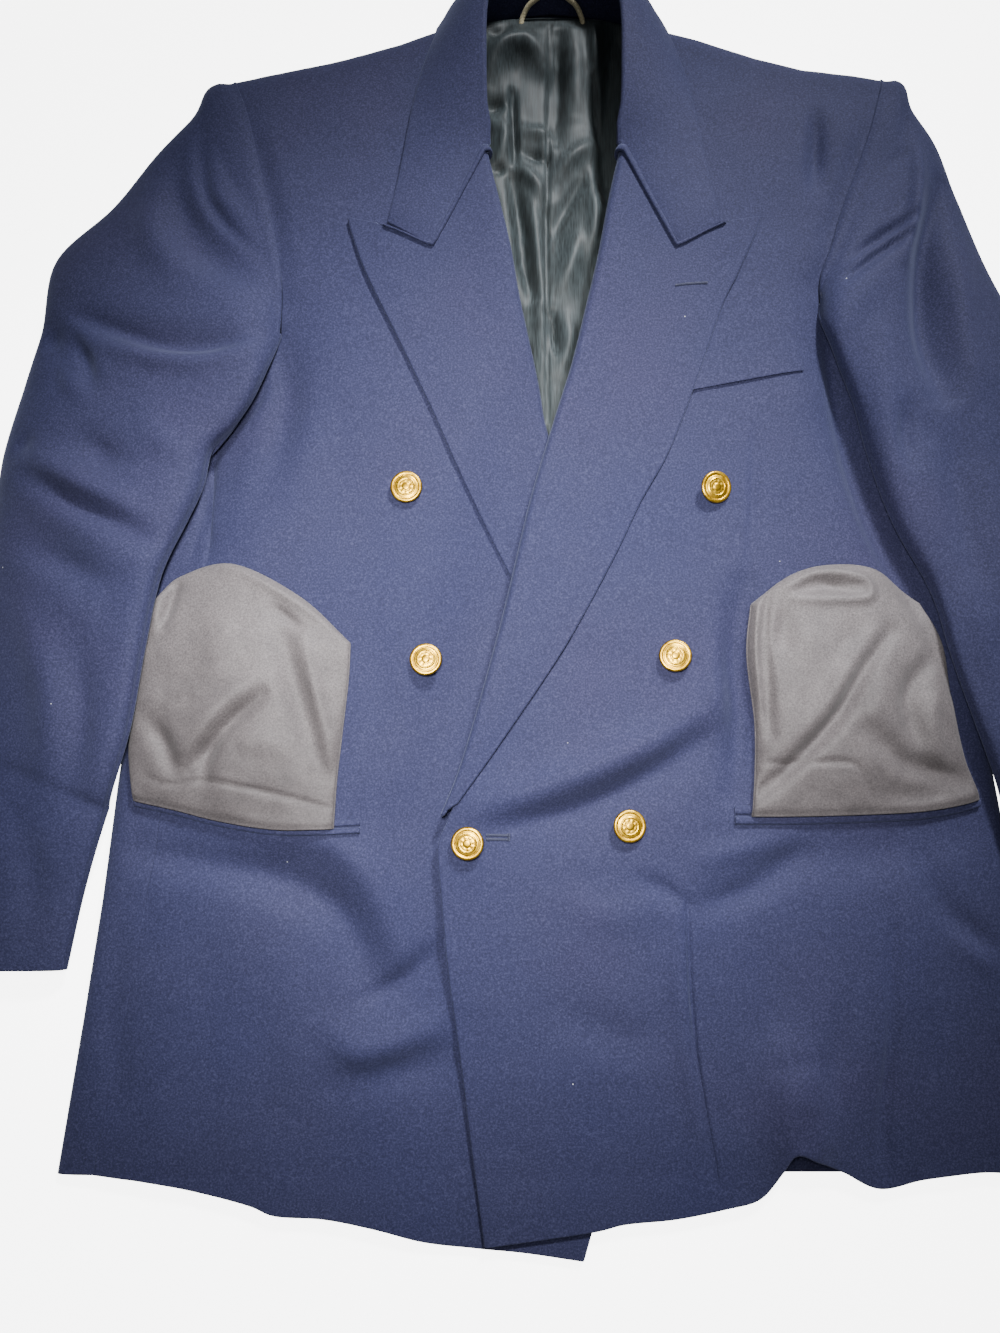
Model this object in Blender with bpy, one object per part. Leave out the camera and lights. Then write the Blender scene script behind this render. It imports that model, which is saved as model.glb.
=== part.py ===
"""Double-breasted blazer lying on its back, front up, with both hip pockets turned out.

Axes: +X towards the wearer's left sleeve, +Y from hem to collar, +Z up from the surface the back lies on.
Tables are in millimetres, measured on the plan; the meshes are in metres. "right" and "left" are the wearer's.
The wearer's left front (+X) lies over the right one, and its edge crosses the middle.
"""

import math
from collections import namedtuple

import bmesh
import bpy
import numpy as np
from mathutils import Vector

MM = 0.001

# Cloth thicknesses and gaps
SUITING = 1.6
LAPEL_CLOTH = 2.4
COLLAR_CLOTH = 2.2
LINING_CLOTH = 1.0
POCKETING = 1.0
JET_THICKNESS = 1.2
SEAM_GAP = 0.5
LAYER_GAP = 1.0
LAPEL_GAP = 1.6
SLEEVE_SEAM_GAP = 1.4
SLEEVE_EDGE_DROP = 3.2

# The jacket's main measures
HEM_Y = -238.0
UNDERARM_Y = 262.0
BACK_LENGTH_TOP = 566.0
NECK_CENTRE_X = 3.0
SHOULDER_EDGE_Z = 15.0
BUTTON_RADIUS = 10.5
BUTTON_THICKNESS = 4.2
# From the middle of the underside to the middle of the dome: shares of the radius and of the thickness
BUTTON_PROFILE = [(0.0, 0.0), (0.62, 0.0), (0.95, 0.34), (1.0, 0.56), (0.97, 0.78), (0.82, 0.88), (0.45, 1.0),
                  (0.0, 1.03)]

# The lapel's fold: how far inside the roll line the front ends and the curve begins, and the curve's radius
ROLL_TO_FRONT = 7.5
ROLL_TO_LAPEL = 5.5
ROLL_RADIUS = 4.4
LAPEL_BULGE = 2.2
GORGE_ON_LEAF = 0.9516

# Side panels: how far in from the fold's outermost line, and how much higher the armhole is cut there
SIDE_WRAP = [(0.0, 0.0), (1.2, 5.0), (4.0, 17.0), (8.0, 32.0), (12.0, 45.0), (20.0, 72.0)]

# Collar leaf, from its edge to its fold: share of the way from the fold, and share of the station's bow
LEAF_SECTION = [(1.0, 0.0), (0.72, 0.75), (0.45, 1.0), (0.2, 0.75), (0.0, 0.0)]
COLLAR_STEPS = 2

Row = namedtuple("Row", "y right left crown edge dip")
# right and left: the side edges. crown: height of the front above the surface. edge: height of the side fold's
# outermost line. dip: how far the right front passes below the left one.
BODY = [
    Row(y=-292, right=-318, left=326, crown=7.5, edge=3.6, dip=2.7),
    Row(y=-238, right=-314, left=322, crown=9, edge=4, dip=3.4),
    Row(y=-144, right=-302, left=309, crown=15, edge=6, dip=6),
    Row(y=-69, right=-292, left=298, crown=21, edge=8, dip=8.5),
    Row(y=5, right=-281, left=286, crown=27, edge=10, dip=11),
    Row(y=88, right=-270, left=274, crown=32, edge=12, dip=13),
    Row(y=141, right=-264, left=267, crown=34, edge=12, dip=13),
    Row(y=200, right=-263, left=264, crown=35, edge=12, dip=13),
    Row(y=262, right=-262, left=262, crown=36, edge=12, dip=13),
    Row(y=400, right=-262, left=262, crown=36, edge=14, dip=13),
    Row(y=480, right=-262, left=262, crown=34, edge=15, dip=0),
    Row(y=560, right=-262, left=262, crown=30, edge=15, dip=0),
]

# Seams and edges on the plan, each from the hem or cuff end upwards
SHOULDER_LINE = [(-242, 500), (-224, 505), (-178, 516), (-142, 525), (-106, 536), (-80, 546), (-60, 553), (3, 560),
                 (66, 553), (85, 546), (111, 538), (147, 525), (182, 515), (218, 511), (239, 507), (259, 503)]
SIDE_SEAM = {
    "right": [(-290, -238), (-283, -193), (-264, -85), (-251, 0), (-240, 60), (-229, 130), (-227, 175),
              (-229, 220), (-231, 265)],
    "left": [(298, -238), (290, -193), (271, -85), (258, 0), (247, 60), (238, 130), (235, 175), (234, 220),
             (232, 265)],
}
ARMHOLE_LOW = {
    "right": [(-231, 265), (-212, 272), (-195, 286), (-183, 308)],
    "left": [(232, 265), (212, 276), (196, 298), (184, 330)],
}
ARMHOLE_FRONT = {
    "right": [(-183, 308), (-182, 333), (-184, 356), (-192, 394), (-202, 435), (-211, 471), (-224, 505)],
    "left": [(184, 330), (185, 350), (193, 372), (204, 405), (215, 433), (226, 464), (239, 507)],
}
ARMHOLE_BACK = {
    "right": [(-242, 334), (-234, 372), (-227, 440), (-224, 505)],
    "left": [(242, 334), (238, 372), (236, 440), (239, 507)],
}
ROLL_LINE = {
    "right": [(75, -14), (62, 14), (48, 61), (32, 121), (15, 193), (-1, 244), (-7, 277), (-19, 331), (-26, 372),
              (-37, 420), (-42, 443)],
    "left": [(-73, -14), (-62, 14), (-48, 61), (-32, 121), (-15, 193), (1, 247), (13, 286), (23, 327), (31, 361),
             (40, 408), (48, 443)],
}
FRONT_EDGE = {
    "right": [(18, -290), (38, -224), (50, -170), (60, -129), (66, -96), (72, -62), (74, -34), (68, -16)],
    "left": [(-43, -281), (-51, -224), (-58, -170), (-64, -129), (-68, -96), (-71, -62), (-73, -34), (-66, -16)],
}
NECK_FRONT = {
    "right": [(-49, 446), (-62, 480), (-68, 520), (-68, 550)],
    "left": [(57, 449), (68, 482), (74, 520), (74, 550)],
}
HEM = {
    "right": [(-290, -238), (-255, -242), (-223, -248), (-191, -256), (-175, -262), (-144, -264), (-112, -270),
              (-81, -278), (-50, -282), (-18, -285), (18, -290)],
    "left": [(298, -238), (270, -236), (233, -240), (205, -246), (183, -236), (165, -228), (150, -223), (140, -238),
             (128, -252), (107, -258), (75, -264), (44, -267), (22, -272), (-43, -281)],
}
LAPEL_OUTER = {
    "right": [(63, -5), (34, 33), (0, 88), (-25, 141), (-59, 210), (-80, 257), (-102, 304), (-124, 350),
              (-134, 378), (-137, 389)],
    "left": [(-62, -6), (-34, 33), (7, 94), (38, 150), (58, 191), (76, 223), (93, 265), (114, 324), (126, 349),
             (138, 376), (143, 390)],
}
GORGE = {
    "right": [(-137, 389), (-110, 382), (-80, 368), (-60, 407), (-42, 443)],
    "left": [(143, 390), (117, 384), (86, 368), (66, 407), (48, 443)],
}

Station = namedtuple("Station", "fold edge seam bow")
# The collar's half, from its front end to the centre back: the fold, the leaf's outer edge, the neck seam and how
# far the leaf bows out between fold and edge. Edge points at height 0 are set down on the fronts.
COLLAR = [
    Station(fold=(-81.3, 369.0, 0), edge=(-110, 386, 0), seam=None, bow=1.5),
    Station(fold=(-61.3, 408.2, 0), edge=(-104, 414, 0), seam=None, bow=2.0),
    Station(fold=(-43.4, 445.6, 41), edge=(-100, 438, 0), seam=(-42.5, 446, 38), bow=2.2),
    Station(fold=(-45, 470, 48), edge=(-95, 470, 0), seam=(-54, 471, 37), bow=2.2),
    Station(fold=(-46, 505, 53), edge=(-88, 505, 0), seam=(-62, 505, 36), bow=2.2),
    Station(fold=(-46, 535, 54), edge=(-80, 533, 34), seam=(-65, 536, 31), bow=3.0),
    Station(fold=(-42, 562, 51), edge=(-77, 558, 21), seam=(-61, 556, 22), bow=5.0),
    Station(fold=(-27, 584, 42), edge=(-56, 566, 4), seam=(-38, 566, 13.5), bow=9.0),
    Station(fold=(3, 596, 35), edge=(3, 556, 0.6), seam=(3, 568, 11.5), bow=10.0),
]

SleeveRow = namedtuple("SleeveRow", "outer inner rise lift")
# outer and inner: the folded edges on the plan. rise: the tube's height over what it lies on. lift: height of
# its folded edges. Rows run from the shoulder to the cuff.
SLEEVE = {
    "right": [
        SleeveRow((-224, 505), (-183, 308), 32, 14),
        SleeveRow((-273, 456), (-194, 286), 32, 15),
        SleeveRow((-307, 410), (-199, 262), 32, 15),
        SleeveRow((-345, 370), (-212, 243), 32, 15),
        SleeveRow((-352, 320), (-227, 226), 33, 14),
        SleeveRow((-362, 276), (-233, 196), 33, 14),
        SleeveRow((-373, 228), (-254, 141), 34, 13),
        SleeveRow((-378, 175), (-267, 88), 31, 12),
        SleeveRow((-388, 110), (-276, 35), 27, 11),
        SleeveRow((-408, 30), (-289, -14), 22, 9),
        SleeveRow((-440, -54), (-304, -65), 17, 7.5),
        SleeveRow((-462, -112), (-314, -112), 14, 6.5),
    ],
    "left": [
        SleeveRow((239, 507), (184, 330), 32, 14),
        SleeveRow((276, 462), (192, 314), 32, 15),
        SleeveRow((291, 418), (198, 288), 32, 15),
        SleeveRow((306, 364), (204, 258), 32, 15),
        SleeveRow((332, 306), (213, 222), 33, 14),
        SleeveRow((352, 250), (227, 176), 33, 14),
        SleeveRow((364, 196), (247, 132), 34, 13),
        SleeveRow((374, 140), (260, 90), 31, 12),
        SleeveRow((388, 70), (275, 45), 27, 11),
        SleeveRow((410, 0), (290, 0), 22, 9),
        SleeveRow((438, -62), (304, -58), 17, 7.5),
        SleeveRow((460, -112), (316, -112), 14, 6.5),
    ],
}

Fold = namedtuple("Fold", "path height width")
# Ridges (height above 0) and troughs (below 0) along a path, with the half width over which they fade.
FRONT_FOLDS = {
    "right": [
        Fold([(-185, 312), (-196, 268), (-222, 228), (-238, 180)], -11, 26),
        Fold([(-181, 285), (-179, 245), (-193, 195)], -4, 14),
        Fold([(-240, -22), (-175, -43), (-134, -72), (-112, -118), (-90, -122), (-74, -100)], -4.5, 15),
        Fold([(-150, -172), (-90, -150)], 2.5, 18),
    ],
    "left": [
        Fold([(190, 335), (203, 262), (221, 196), (244, 140)], -14, 24),
        Fold([(190, 455), (187, 385)], -3, 12),
        Fold([(-48, -8), (6, 12), (72, 40), (105, 66)], 3.5, 14),
        Fold([(-30, -34), (36, -14), (72, 8), (108, 38)], -3, 12),
        Fold([(122, -40), (200, -38), (280, -22)], -3.5, 16),
        Fold([(152, -240), (156, -205), (150, -170)], 13, 20),
        Fold([(238, -60), (222, -130), (200, -180)], 3, 16),
        Fold([(205, -246), (208, -180), (216, -90)], -2.5, 12),
    ],
}
SLEEVE_FOLDS = {
    "right": [
        Fold([(-262, 450), (-250, 400), (-212, 362), (-190, 356)], -5, 12),
        Fold([(-330, 330), (-290, 312), (-235, 300), (-192, 308)], -4.5, 10),
        Fold([(-355, 318), (-336, 308), (-320, 270)], -5, 11),
        Fold([(-322, 232), (-284, 214)], -3, 14),
        Fold([(-360, 190), (-310, 150), (-290, 120)], -3, 14),
        Fold([(-262, 175), (-284, 100), (-300, 20)], -3, 16),
    ],
    "left": [
        Fold([(206, 352), (236, 395), (252, 412)], -4, 10),
        Fold([(262, 358), (262, 305), (268, 268)], -8, 14),
        Fold([(246, 252), (250, 222)], -3, 10),
        Fold([(292, 100), (305, 40), (322, -30)], -3, 14),
    ],
}
LINING_FOLDS = [
    Fold([(3, 556), (1, 470), (3, 380), (0, 250)], 5, 7),
    Fold([(-36, 545), (-30, 500), (-32, 440), (-18, 330)], 7, 11),
    Fold([(-20, 520), (-14, 480), (-14, 400), (-8, 300)], -2.5, 6),
    Fold([(22, 470), (26, 420), (14, 350), (6, 280)], 7, 11),
    Fold([(38, 548), (34, 500), (34, 440)], 5, 8),
]

# Pocket openings, from the front's middle outwards, and the outlines of the turned-out bags
POCKET_LINE = {
    "right": [(-124, -21), (-150, -22), (-179, -22), (-213, -17), (-242, -10), (-262, -5)],
    "left": [(117, -14), (150, -14), (192, -13), (234, -11), (261, -7), (270, -4)],
}
BAG_INNER = {
    "right": [(-139, -15), (-139, 8), (-136, 34), (-132, 72), (-131, 96)],
    "left": [(127, -8), (130, 15), (131, 47), (127, 90), (130, 122)],
}
BAG_OUTER = {
    "right": [(-266, 4), (-268, 34), (-265, 66), (-264, 99), (-258, 126)],
    "left": [(268, 1), (260, 28), (255, 60), (250, 99), (238, 124)],
}
BAG_TOP = {
    "right": [(-131, 96), (-164, 126), (-209, 148), (-244, 141), (-258, 126)],
    "left": [(130, 122), (155, 140), (181, 147), (214, 144), (238, 124)],
}
JET_DEPTH = {"right": 4.5, "left": 6.0}

BREAST_WELT = [(93, 267), (170, 282), (165, 306), (96, 291)]

Button = namedtuple("Button", "name x y reach")
# reach: how far round its centre a button touches the cloth.
BUTTONS = [
    Button("top_right", -95.6, 199.8, 10.5),
    Button("top_left", 107.1, 199.2, 10.5),
    Button("middle_right", -82.1, 85.9, 4.0),
    Button("middle_left", 79.2, 87.9, 10.5),
    Button("bottom_right", -54.6, -31.7, 10.5),
    Button("bottom_left", 48.7, -20.8, 10.5),
]
HANG_LOOP = [(-19, 556, 12.7), (-17, 562.5, 15.5), (-11, 568.5, 20.7), (4, 573, 25.3), (19, 568.5, 20.7),
             (25, 562.5, 15.5), (27, 556, 12.7)]
HANG_LOOP_RADIUS = 1.7

# Grid steps: rows and columns of cloth panels
SEAM_ROWS = 12
UNDERARM_ROWS = 2
ARMHOLE_ROWS = 9
FRONT_COLUMNS = 11
SLEEVE_ROWS = 14

NAVY = (0.050, 0.060, 0.115)
LINING_GREY = (0.10, 0.12, 0.12)
POCKET_GREY = (0.23, 0.215, 0.22)
BRASS = (0.80, 0.56, 0.20)


def make_material(name, colour, roughness, metallic=0.0):
    material = bpy.data.materials.new(name)
    material.use_nodes = True
    shader = material.node_tree.nodes["Principled BSDF"]
    shader.inputs["Base Color"].default_value = (*colour, 1.0)
    shader.inputs["Roughness"].default_value = roughness
    shader.inputs["Metallic"].default_value = metallic
    return material


# Curves and grids
def dense(points, steps=16):
    """A Catmull-Rom curve through the points."""
    p = np.array(points, float)
    ends = np.vstack([2 * p[0] - p[1], p, 2 * p[-1] - p[-2]])
    t = np.linspace(0, 1, steps, endpoint=False)[:, None]
    pieces = []
    for a, b, c, d in zip(ends, ends[1:], ends[2:], ends[3:]):
        pieces.append(0.5 * (2 * b + (c - a) * t + (2 * a - 5 * b + 4 * c - d) * t**2 + (3 * b - a - 3 * c + d) * t**3))
    return np.vstack([*pieces, p[-1:]])


def fractions_of(path):
    steps = np.linalg.norm(np.diff(path, axis=0), axis=1)
    return np.concatenate([[0], np.cumsum(steps)]) / steps.sum()


def sample(path, fractions):
    """Points of the path at these fractions of its length."""
    at = fractions_of(path)
    return np.stack([np.interp(fractions, at, path[:, k]) for k in range(path.shape[1])], axis=1)


def joined(*paths):
    return np.vstack([paths[0]] + [p[1:] for p in paths[1:]])


def eased(count):
    """Fractions from 0 to 1 that crowd towards both ends, for cloth that rolls over at its edges."""
    return (1 - np.cos(np.pi * np.arange(count + 1) / count)) / 2


def coons(left, right, bottom, top, across, along):
    """A grid between four edges; rows run along, columns across. Corners are shared."""
    s = across[None, :, None]
    t = along[:, None, None]
    ruled = (1 - s) * left[:, None] + s * right[:, None] + (1 - t) * bottom[None] + t * top[None]
    corners = ((1 - s) * (1 - t) * bottom[0] + s * (1 - t) * bottom[-1] + (1 - s) * t * top[0] + s * t * top[-1])
    return ruled - corners


def distance_to(x, y, path):
    """Distance on the plan from each point to the path, and the fraction of its length at the nearest point."""
    best = np.full(np.shape(x), 1e9)
    where = np.zeros(np.shape(x))
    at = fractions_of(path)
    for k, (a, b) in enumerate(zip(path, path[1:])):
        ab = b - a
        t = np.clip(((x - a[0]) * ab[0] + (y - a[1]) * ab[1]) / (ab @ ab), 0, 1)
        d = np.hypot(x - a[0] - t * ab[0], y - a[1] - t * ab[1])
        where = np.where(d < best, at[k] + t * (at[k + 1] - at[k]), where)
        best = np.minimum(best, d)
    return best, where


def folds(x, y, rows):
    total = np.zeros(np.shape(x))
    for row in rows:
        d, at = distance_to(x, y, dense(row.path, 4))
        taper = np.sin(np.pi * np.clip(0.12 + 0.76 * at, 0, 1))
        total += row.height * taper * np.exp(-((d / row.width) ** 2))
    return total


def column(table, name, y):
    return np.interp(y, [row.y for row in table], [getattr(row, name) for row in table])


def round_edge(d, radius):
    """0 at the edge and 1 from the radius inwards, leaving the edge upright like a quarter circle."""
    q = 1 - np.clip(d / radius, 0, 1)
    return np.sqrt(1 - q * q)


def smooth(q):
    q = np.clip(q, 0, 1)
    return q * q * (3 - 2 * q)


# Heights of the body's two sides
def side_distance(x, y):
    return np.minimum(x - column(BODY, "right", y), column(BODY, "left", y) - x)


def shoulder_distance(x, y):
    line = np.array(SHOULDER_LINE, float)
    return np.interp(x, line[:, 0], line[:, 1]) - y


def body_top(x, y, fold_rows=()):
    """Height of the front's outer face."""
    crown = column(BODY, "crown", y)
    edge = column(BODY, "edge", y)
    d = side_distance(x, y)
    side = 0.6 * round_edge(d, 16) + 0.4 * smooth(d / 80)
    side += (1 - side) * smooth((y - UNDERARM_Y) / 60)
    s = shoulder_distance(x, y)
    shoulder = 0.8 * round_edge(s, 16) + 0.2 * smooth(s / 60)
    return edge + (crown - edge) * side * shoulder + folds(x, y, fold_rows) * smooth(d / 30) * smooth(s / 30)


def neck_rise(x, y):
    """The back is lifted at the neck by the collar leaf below it."""
    return 6.5 * smooth((y - 505) / 42) * (1 - smooth((abs(x - NECK_CENTRE_X) - 76) / 34))


def body_bottom(x, y):
    """Height of the back's outer face: flat on the surface, rounded up at the side and shoulder edges."""
    edge = column(BODY, "edge", y)
    side = round_edge(side_distance(x, y), 12) + (y > UNDERARM_Y + 60)
    shoulder = round_edge(shoulder_distance(x, y), 12)
    at_neck = 1 - smooth((abs(x - NECK_CENTRE_X) - 52) / 14)
    lifted = edge * (1 - np.minimum(side, 1) * np.maximum(shoulder, at_neck))
    return np.maximum(lifted, neck_rise(x, y))


# Walls and other solids
def unit_normals(grid):
    du = np.gradient(grid, axis=1)
    dv = np.gradient(grid, axis=0)
    n = np.cross(du, dv)
    return n / np.linalg.norm(n, axis=2, keepdims=True)


def new_object(name, vertices, faces, material):
    mesh = bpy.data.meshes.new(name)
    mesh.from_pydata([tuple(v) for v in vertices], [], faces)
    mesh.materials.append(material)
    mesh.shade_smooth()
    mesh.set_sharp_from_angle(angle=math.radians(50))
    obj = bpy.data.objects.new(name, mesh)
    bpy.context.scene.collection.objects.link(obj)
    return obj


def wall(name, outer, thickness, material, first_row=None, last_row=None):
    """A cloth wall: the outer grid, the same grid moved in by the thickness, and a rim. du x dv points out.

    first_row and last_row set the directions in which those rows face, so that two walls can meet in a seam.
    """
    normals = unit_normals(outer)
    if first_row is not None:
        normals[0] = first_row
    if last_row is not None:
        normals[-1] = last_row
    inner = outer - thickness * normals
    rows, columns = outer.shape[:2]
    vertices = np.vstack([outer.reshape(-1, 3), inner.reshape(-1, 3)]) * MM
    offset = rows * columns
    faces = []
    for i in range(rows - 1):
        for j in range(columns - 1):
            a, b = i * columns + j, i * columns + j + 1
            c, d = b + columns, a + columns
            faces.append((a, b, c, d))
            faces.append((a + offset, d + offset, c + offset, b + offset))
    ring = [j for j in range(columns)]
    ring += [i * columns + columns - 1 for i in range(1, rows)]
    ring += [(rows - 1) * columns + j for j in range(columns - 2, -1, -1)]
    ring += [i * columns for i in range(rows - 2, 0, -1)]
    for a, b in zip(ring, ring[1:] + ring[:1]):
        faces.append((a, a + offset, b + offset, b))
    return new_object(name, vertices, faces, material)


def on_plan(plan, heights):
    return np.concatenate([plan, heights[..., None]], axis=2)


def turned(grid):
    """The same grid facing the other way."""
    return grid[:, ::-1]


def shifted(path, dx, dy=0.0):
    return path + np.array([dx, dy])


def sign_of(side):
    return -1.0 if side == "right" else 1.0


# Front panels
def armhole_path(side):
    """The front armhole from the underarm fold to the shoulder, at the rows shared with the sleeve."""
    return sample(dense(ARMHOLE_FRONT[side]), eased(ARMHOLE_ROWS))


def front_plan(side):
    """Plan grid of a front: columns from the side seam to the front edge, rows from the hem to the shoulder."""
    out = sign_of(side)
    seam = sample(dense(SIDE_SEAM[side]), np.linspace(0, 1, SEAM_ROWS + 1))
    low = sample(dense(ARMHOLE_LOW[side]), np.linspace(0, 1, UNDERARM_ROWS + 1))
    outer = shifted(joined(seam, low, armhole_path(side)), -out * SEAM_GAP / 2)
    along = fractions_of(outer)
    roll = dense(ROLL_LINE[side])
    roll[:, 0] += out * ROLL_TO_FRONT
    inner = sample(np.vstack([dense(FRONT_EDGE[side])[:-1], roll, dense(NECK_FRONT[side])[1:]]), along)
    across = 1 - (1 - np.linspace(0, 1, FRONT_COLUMNS + 1)) ** 0.85
    bottom = sample(dense(HEM[side]), across)
    shoulder_x = outer[-1, 0] + across * (inner[-1, 0] - outer[-1, 0])
    line = np.array(SHOULDER_LINE, float)
    top = np.stack([shoulder_x, np.interp(shoulder_x, line[:, 0], line[:, 1])], axis=1)
    outer[-1], inner[-1] = top[0], top[-1]
    outer[0], inner[0] = bottom[0], bottom[-1]
    return coons(outer, inner, bottom, top, across, along)


def overlap_dip(x, y):
    """How far the right front and its lapel pass below the left front."""
    over = dense(FRONT_EDGE["left"][:-1] + ROLL_LINE["left"])
    order = np.argsort(over[:, 1])
    edge_x = np.interp(y, over[order, 1], over[order, 0])
    inside = smooth((x - edge_x + 65) / 60)
    return column(BODY, "dip", y) * inside * (1 - smooth((y - 255) / 140))


def front_top(side, x, y):
    top = body_top(x, y, FRONT_FOLDS[side])
    return top - overlap_dip(x, y) if side == "right" else top


def front_panel(side, material):
    plan = front_plan(side)
    x, y = plan[..., 0], plan[..., 1]
    z = front_top(side, x, y)
    z[-1] = SHOULDER_EDGE_Z + 0.8
    grid = on_plan(plan, z)
    if side == "left":
        grid = turned(grid)
    wall(f"front_{side}", grid, SUITING, material, last_row=(0, 1, 0))
    return grid


# Side panels
def side_panel(side, material):
    """The strip between front and back: from the front seam, round the side fold, to the back seam below."""
    out = sign_of(side)
    seam = sample(dense(SIDE_SEAM[side]), np.linspace(0, 1, SEAM_ROWS + 1))
    wrap_top = np.array([1.0, 0.55, 0.22, 0.06])
    grid = np.zeros((len(seam), len(wrap_top) + len(SIDE_WRAP), 3))
    for i, (seam_x, seam_y) in enumerate(seam):
        share = i / SEAM_ROWS
        for j, part in enumerate(wrap_top):
            edge_x = column(BODY, side, seam_y)
            x = edge_x + part * (seam_x - edge_x + out * SEAM_GAP / 2)
            grid[i, j] = x, seam_y, body_top(np.array(x), np.array(seam_y), FRONT_FOLDS[side])
        for j, (inward, climb) in enumerate(SIDE_WRAP):
            y = seam_y + share**3 * climb
            x = column(BODY, side, y) - out * inward
            grid[i, len(wrap_top) + j] = x, y, body_bottom_at(inward, y)
    if side == "right":
        grid = turned(grid)
    wall(f"side_{side}", grid, SUITING, material)
    return grid


def body_bottom_at(inward, y):
    return float(column(BODY, "edge", y) * (1 - round_edge(np.array(inward), 12)))


# Back panels
def back_plan(side):
    out = sign_of(side)
    inset, climb = SIDE_WRAP[-1]
    front_seam = sample(dense(SIDE_SEAM[side]), np.linspace(0, 1, SEAM_ROWS + 1))
    rows = front_seam[:, 1] + np.linspace(0, 1, SEAM_ROWS + 1) ** 3 * climb
    seam = np.stack([column(BODY, side, rows) - out * (inset + SEAM_GAP), rows], axis=1)
    arm = sample(dense(ARMHOLE_BACK[side]), 1 - (1 - np.linspace(0, 1, 8)) ** 1.5)
    outer = np.vstack([seam, arm[1:]])
    along = fractions_of(outer)
    centre_x = NECK_CENTRE_X + out * SEAM_GAP / 2
    centre = np.stack([np.full(len(along), centre_x), HEM_Y + along * (BACK_LENGTH_TOP - HEM_Y)], axis=1)
    across = np.array([0, 0.18, 0.36, 0.54, 0.7, 0.77, 0.87, 1])
    bottom = np.stack([outer[0, 0] + across * (centre_x - outer[0, 0]), np.full(8, HEM_Y)], axis=1)
    line = np.array(SHOULDER_LINE, float)
    xs = np.linspace(outer[-1, 0], NECK_CENTRE_X + out * 66, 5)
    shoulder = np.stack([xs, np.interp(xs, line[:, 0], line[:, 1])], axis=1)
    neck = [(NECK_CENTRE_X + out * 52, 557), (NECK_CENTRE_X + out * 32, 564), (centre_x, BACK_LENGTH_TOP)]
    top = np.vstack([shoulder, neck])
    outer[-1] = top[0]
    return coons(outer, centre, bottom, top, across, along)


def back_panel(side, material):
    plan = back_plan(side)
    x, y = plan[..., 0], plan[..., 1]
    z = body_bottom(x, y)
    z[-1] = np.where(abs(x[-1] - NECK_CENTRE_X) > 65.5, SHOULDER_EDGE_Z - 0.8, z[-1])
    grid = on_plan(plan, z)
    if side == "right":
        grid = turned(grid)
    on_shoulder = abs(grid[-1, :, 0] - NECK_CENTRE_X)[:, None] > 60
    wall(f"back_{side}", grid, SUITING, material, last_row=np.where(on_shoulder, (0.0, 1.0, 0.0), (0.0, 0.0, -1.0)))
    return grid


def lining_panel(material):
    """Back lining, as far as it shows in the neck opening."""
    across = np.linspace(0, 1, 13)
    along = np.linspace(0, 1, 10)
    left = np.array([(-70, 215), (-70, 400), (-62, 500), (-47, 552)], float)
    right = np.array([(76, 215), (76, 400), (68, 500), (53, 552)], float)
    bottom = np.array([(-70, 215), (76, 215)], float)
    top = np.array([(-47, 552), (-26, 561), (3, 564), (32, 561), (53, 552)], float)
    plan = coons(sample(left, along), sample(right, along), sample(bottom, across), sample(top, across), across, along)
    x, y = plan[..., 0], plan[..., 1]
    edge = smooth((566 - y) / 26) * smooth((70 - abs(x - NECK_CENTRE_X)) / 22)
    z = body_bottom(x, y) + SUITING + LINING_CLOTH + 0.8 + edge * np.maximum(2.6 + folds(x, y, LINING_FOLDS), 0.3)
    wall("back_lining", on_plan(plan, z), LINING_CLOTH, material)


# Lapels
def lapel_grid(side):
    """A lapel turned out over the front: its roll wraps the front's edge, and its leaf lies on the front."""
    out = sign_of(side)
    along = np.concatenate([np.linspace(0, 0.86, 13), [0.93, 1.0]])
    roll = sample(dense(ROLL_LINE[side]), along)
    outer = sample(dense(LAPEL_OUTER[side]), along)
    gorge = joined(dense(GORGE[side][:3]), dense(GORGE[side][2:]))
    gorge_shares = fractions_of(gorge)
    notch = gorge_shares[len(dense(GORGE[side][:3])) - 1] / GORGE_ON_LEAF
    across = np.array([0, 0.5 * notch, notch, *(notch + (1 - notch) * np.array([0.3, 0.63, 1]))])
    width = np.linalg.norm(outer - roll, axis=1)
    inward = (outer - roll) / width[:, None]
    roll_side = roll + inward * ROLL_TO_LAPEL
    top = sample(gorge, across * GORGE_ON_LEAF)
    roll_side[-1] = top[-1]
    bottom = sample(np.array([outer[0], roll_side[0]]), across)
    outer[-1] = top[0]
    plan = coons(outer, roll_side, bottom, top, across, along)
    x, y = plan[..., 0], plan[..., 1]
    from_roll = (1 - across[None, :]) * width[:, None]
    bulge = LAPEL_BULGE * np.exp(-((from_roll / 26) ** 2)) * smooth(width / 50)[:, None]
    leaf = front_top(side, x, y) + LAPEL_GAP + LAPEL_CLOTH + bulge
    edge_point = plan[:, -1]
    z_edge = leaf[:, -1]
    z_under = front_top(side, edge_point[:, 0], edge_point[:, 1]) - SUITING - LAYER_GAP - LAPEL_CLOTH
    wrap = []
    for turn in (45, 90, 135, 180):
        a = math.radians(turn)
        xy = edge_point - inward * ROLL_RADIUS * math.sin(a)
        z = (z_edge + z_under) / 2 + (z_edge - z_under) / 2 * math.cos(a)
        wrap.append(np.concatenate([xy, z[:, None]], axis=1))
    tail = edge_point + inward * np.minimum(4.0, 0.5 * width)[:, None]
    wrap.append(np.concatenate([tail, z_under[:, None]], axis=1))
    grid = np.concatenate([on_plan(plan, leaf), np.stack(wrap, axis=1)], axis=1)
    return grid if out < 0 else turned(grid)


# Collar
def mirrored(point):
    return (2 * NECK_CENTRE_X - point[0], point[1], point[2])


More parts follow.
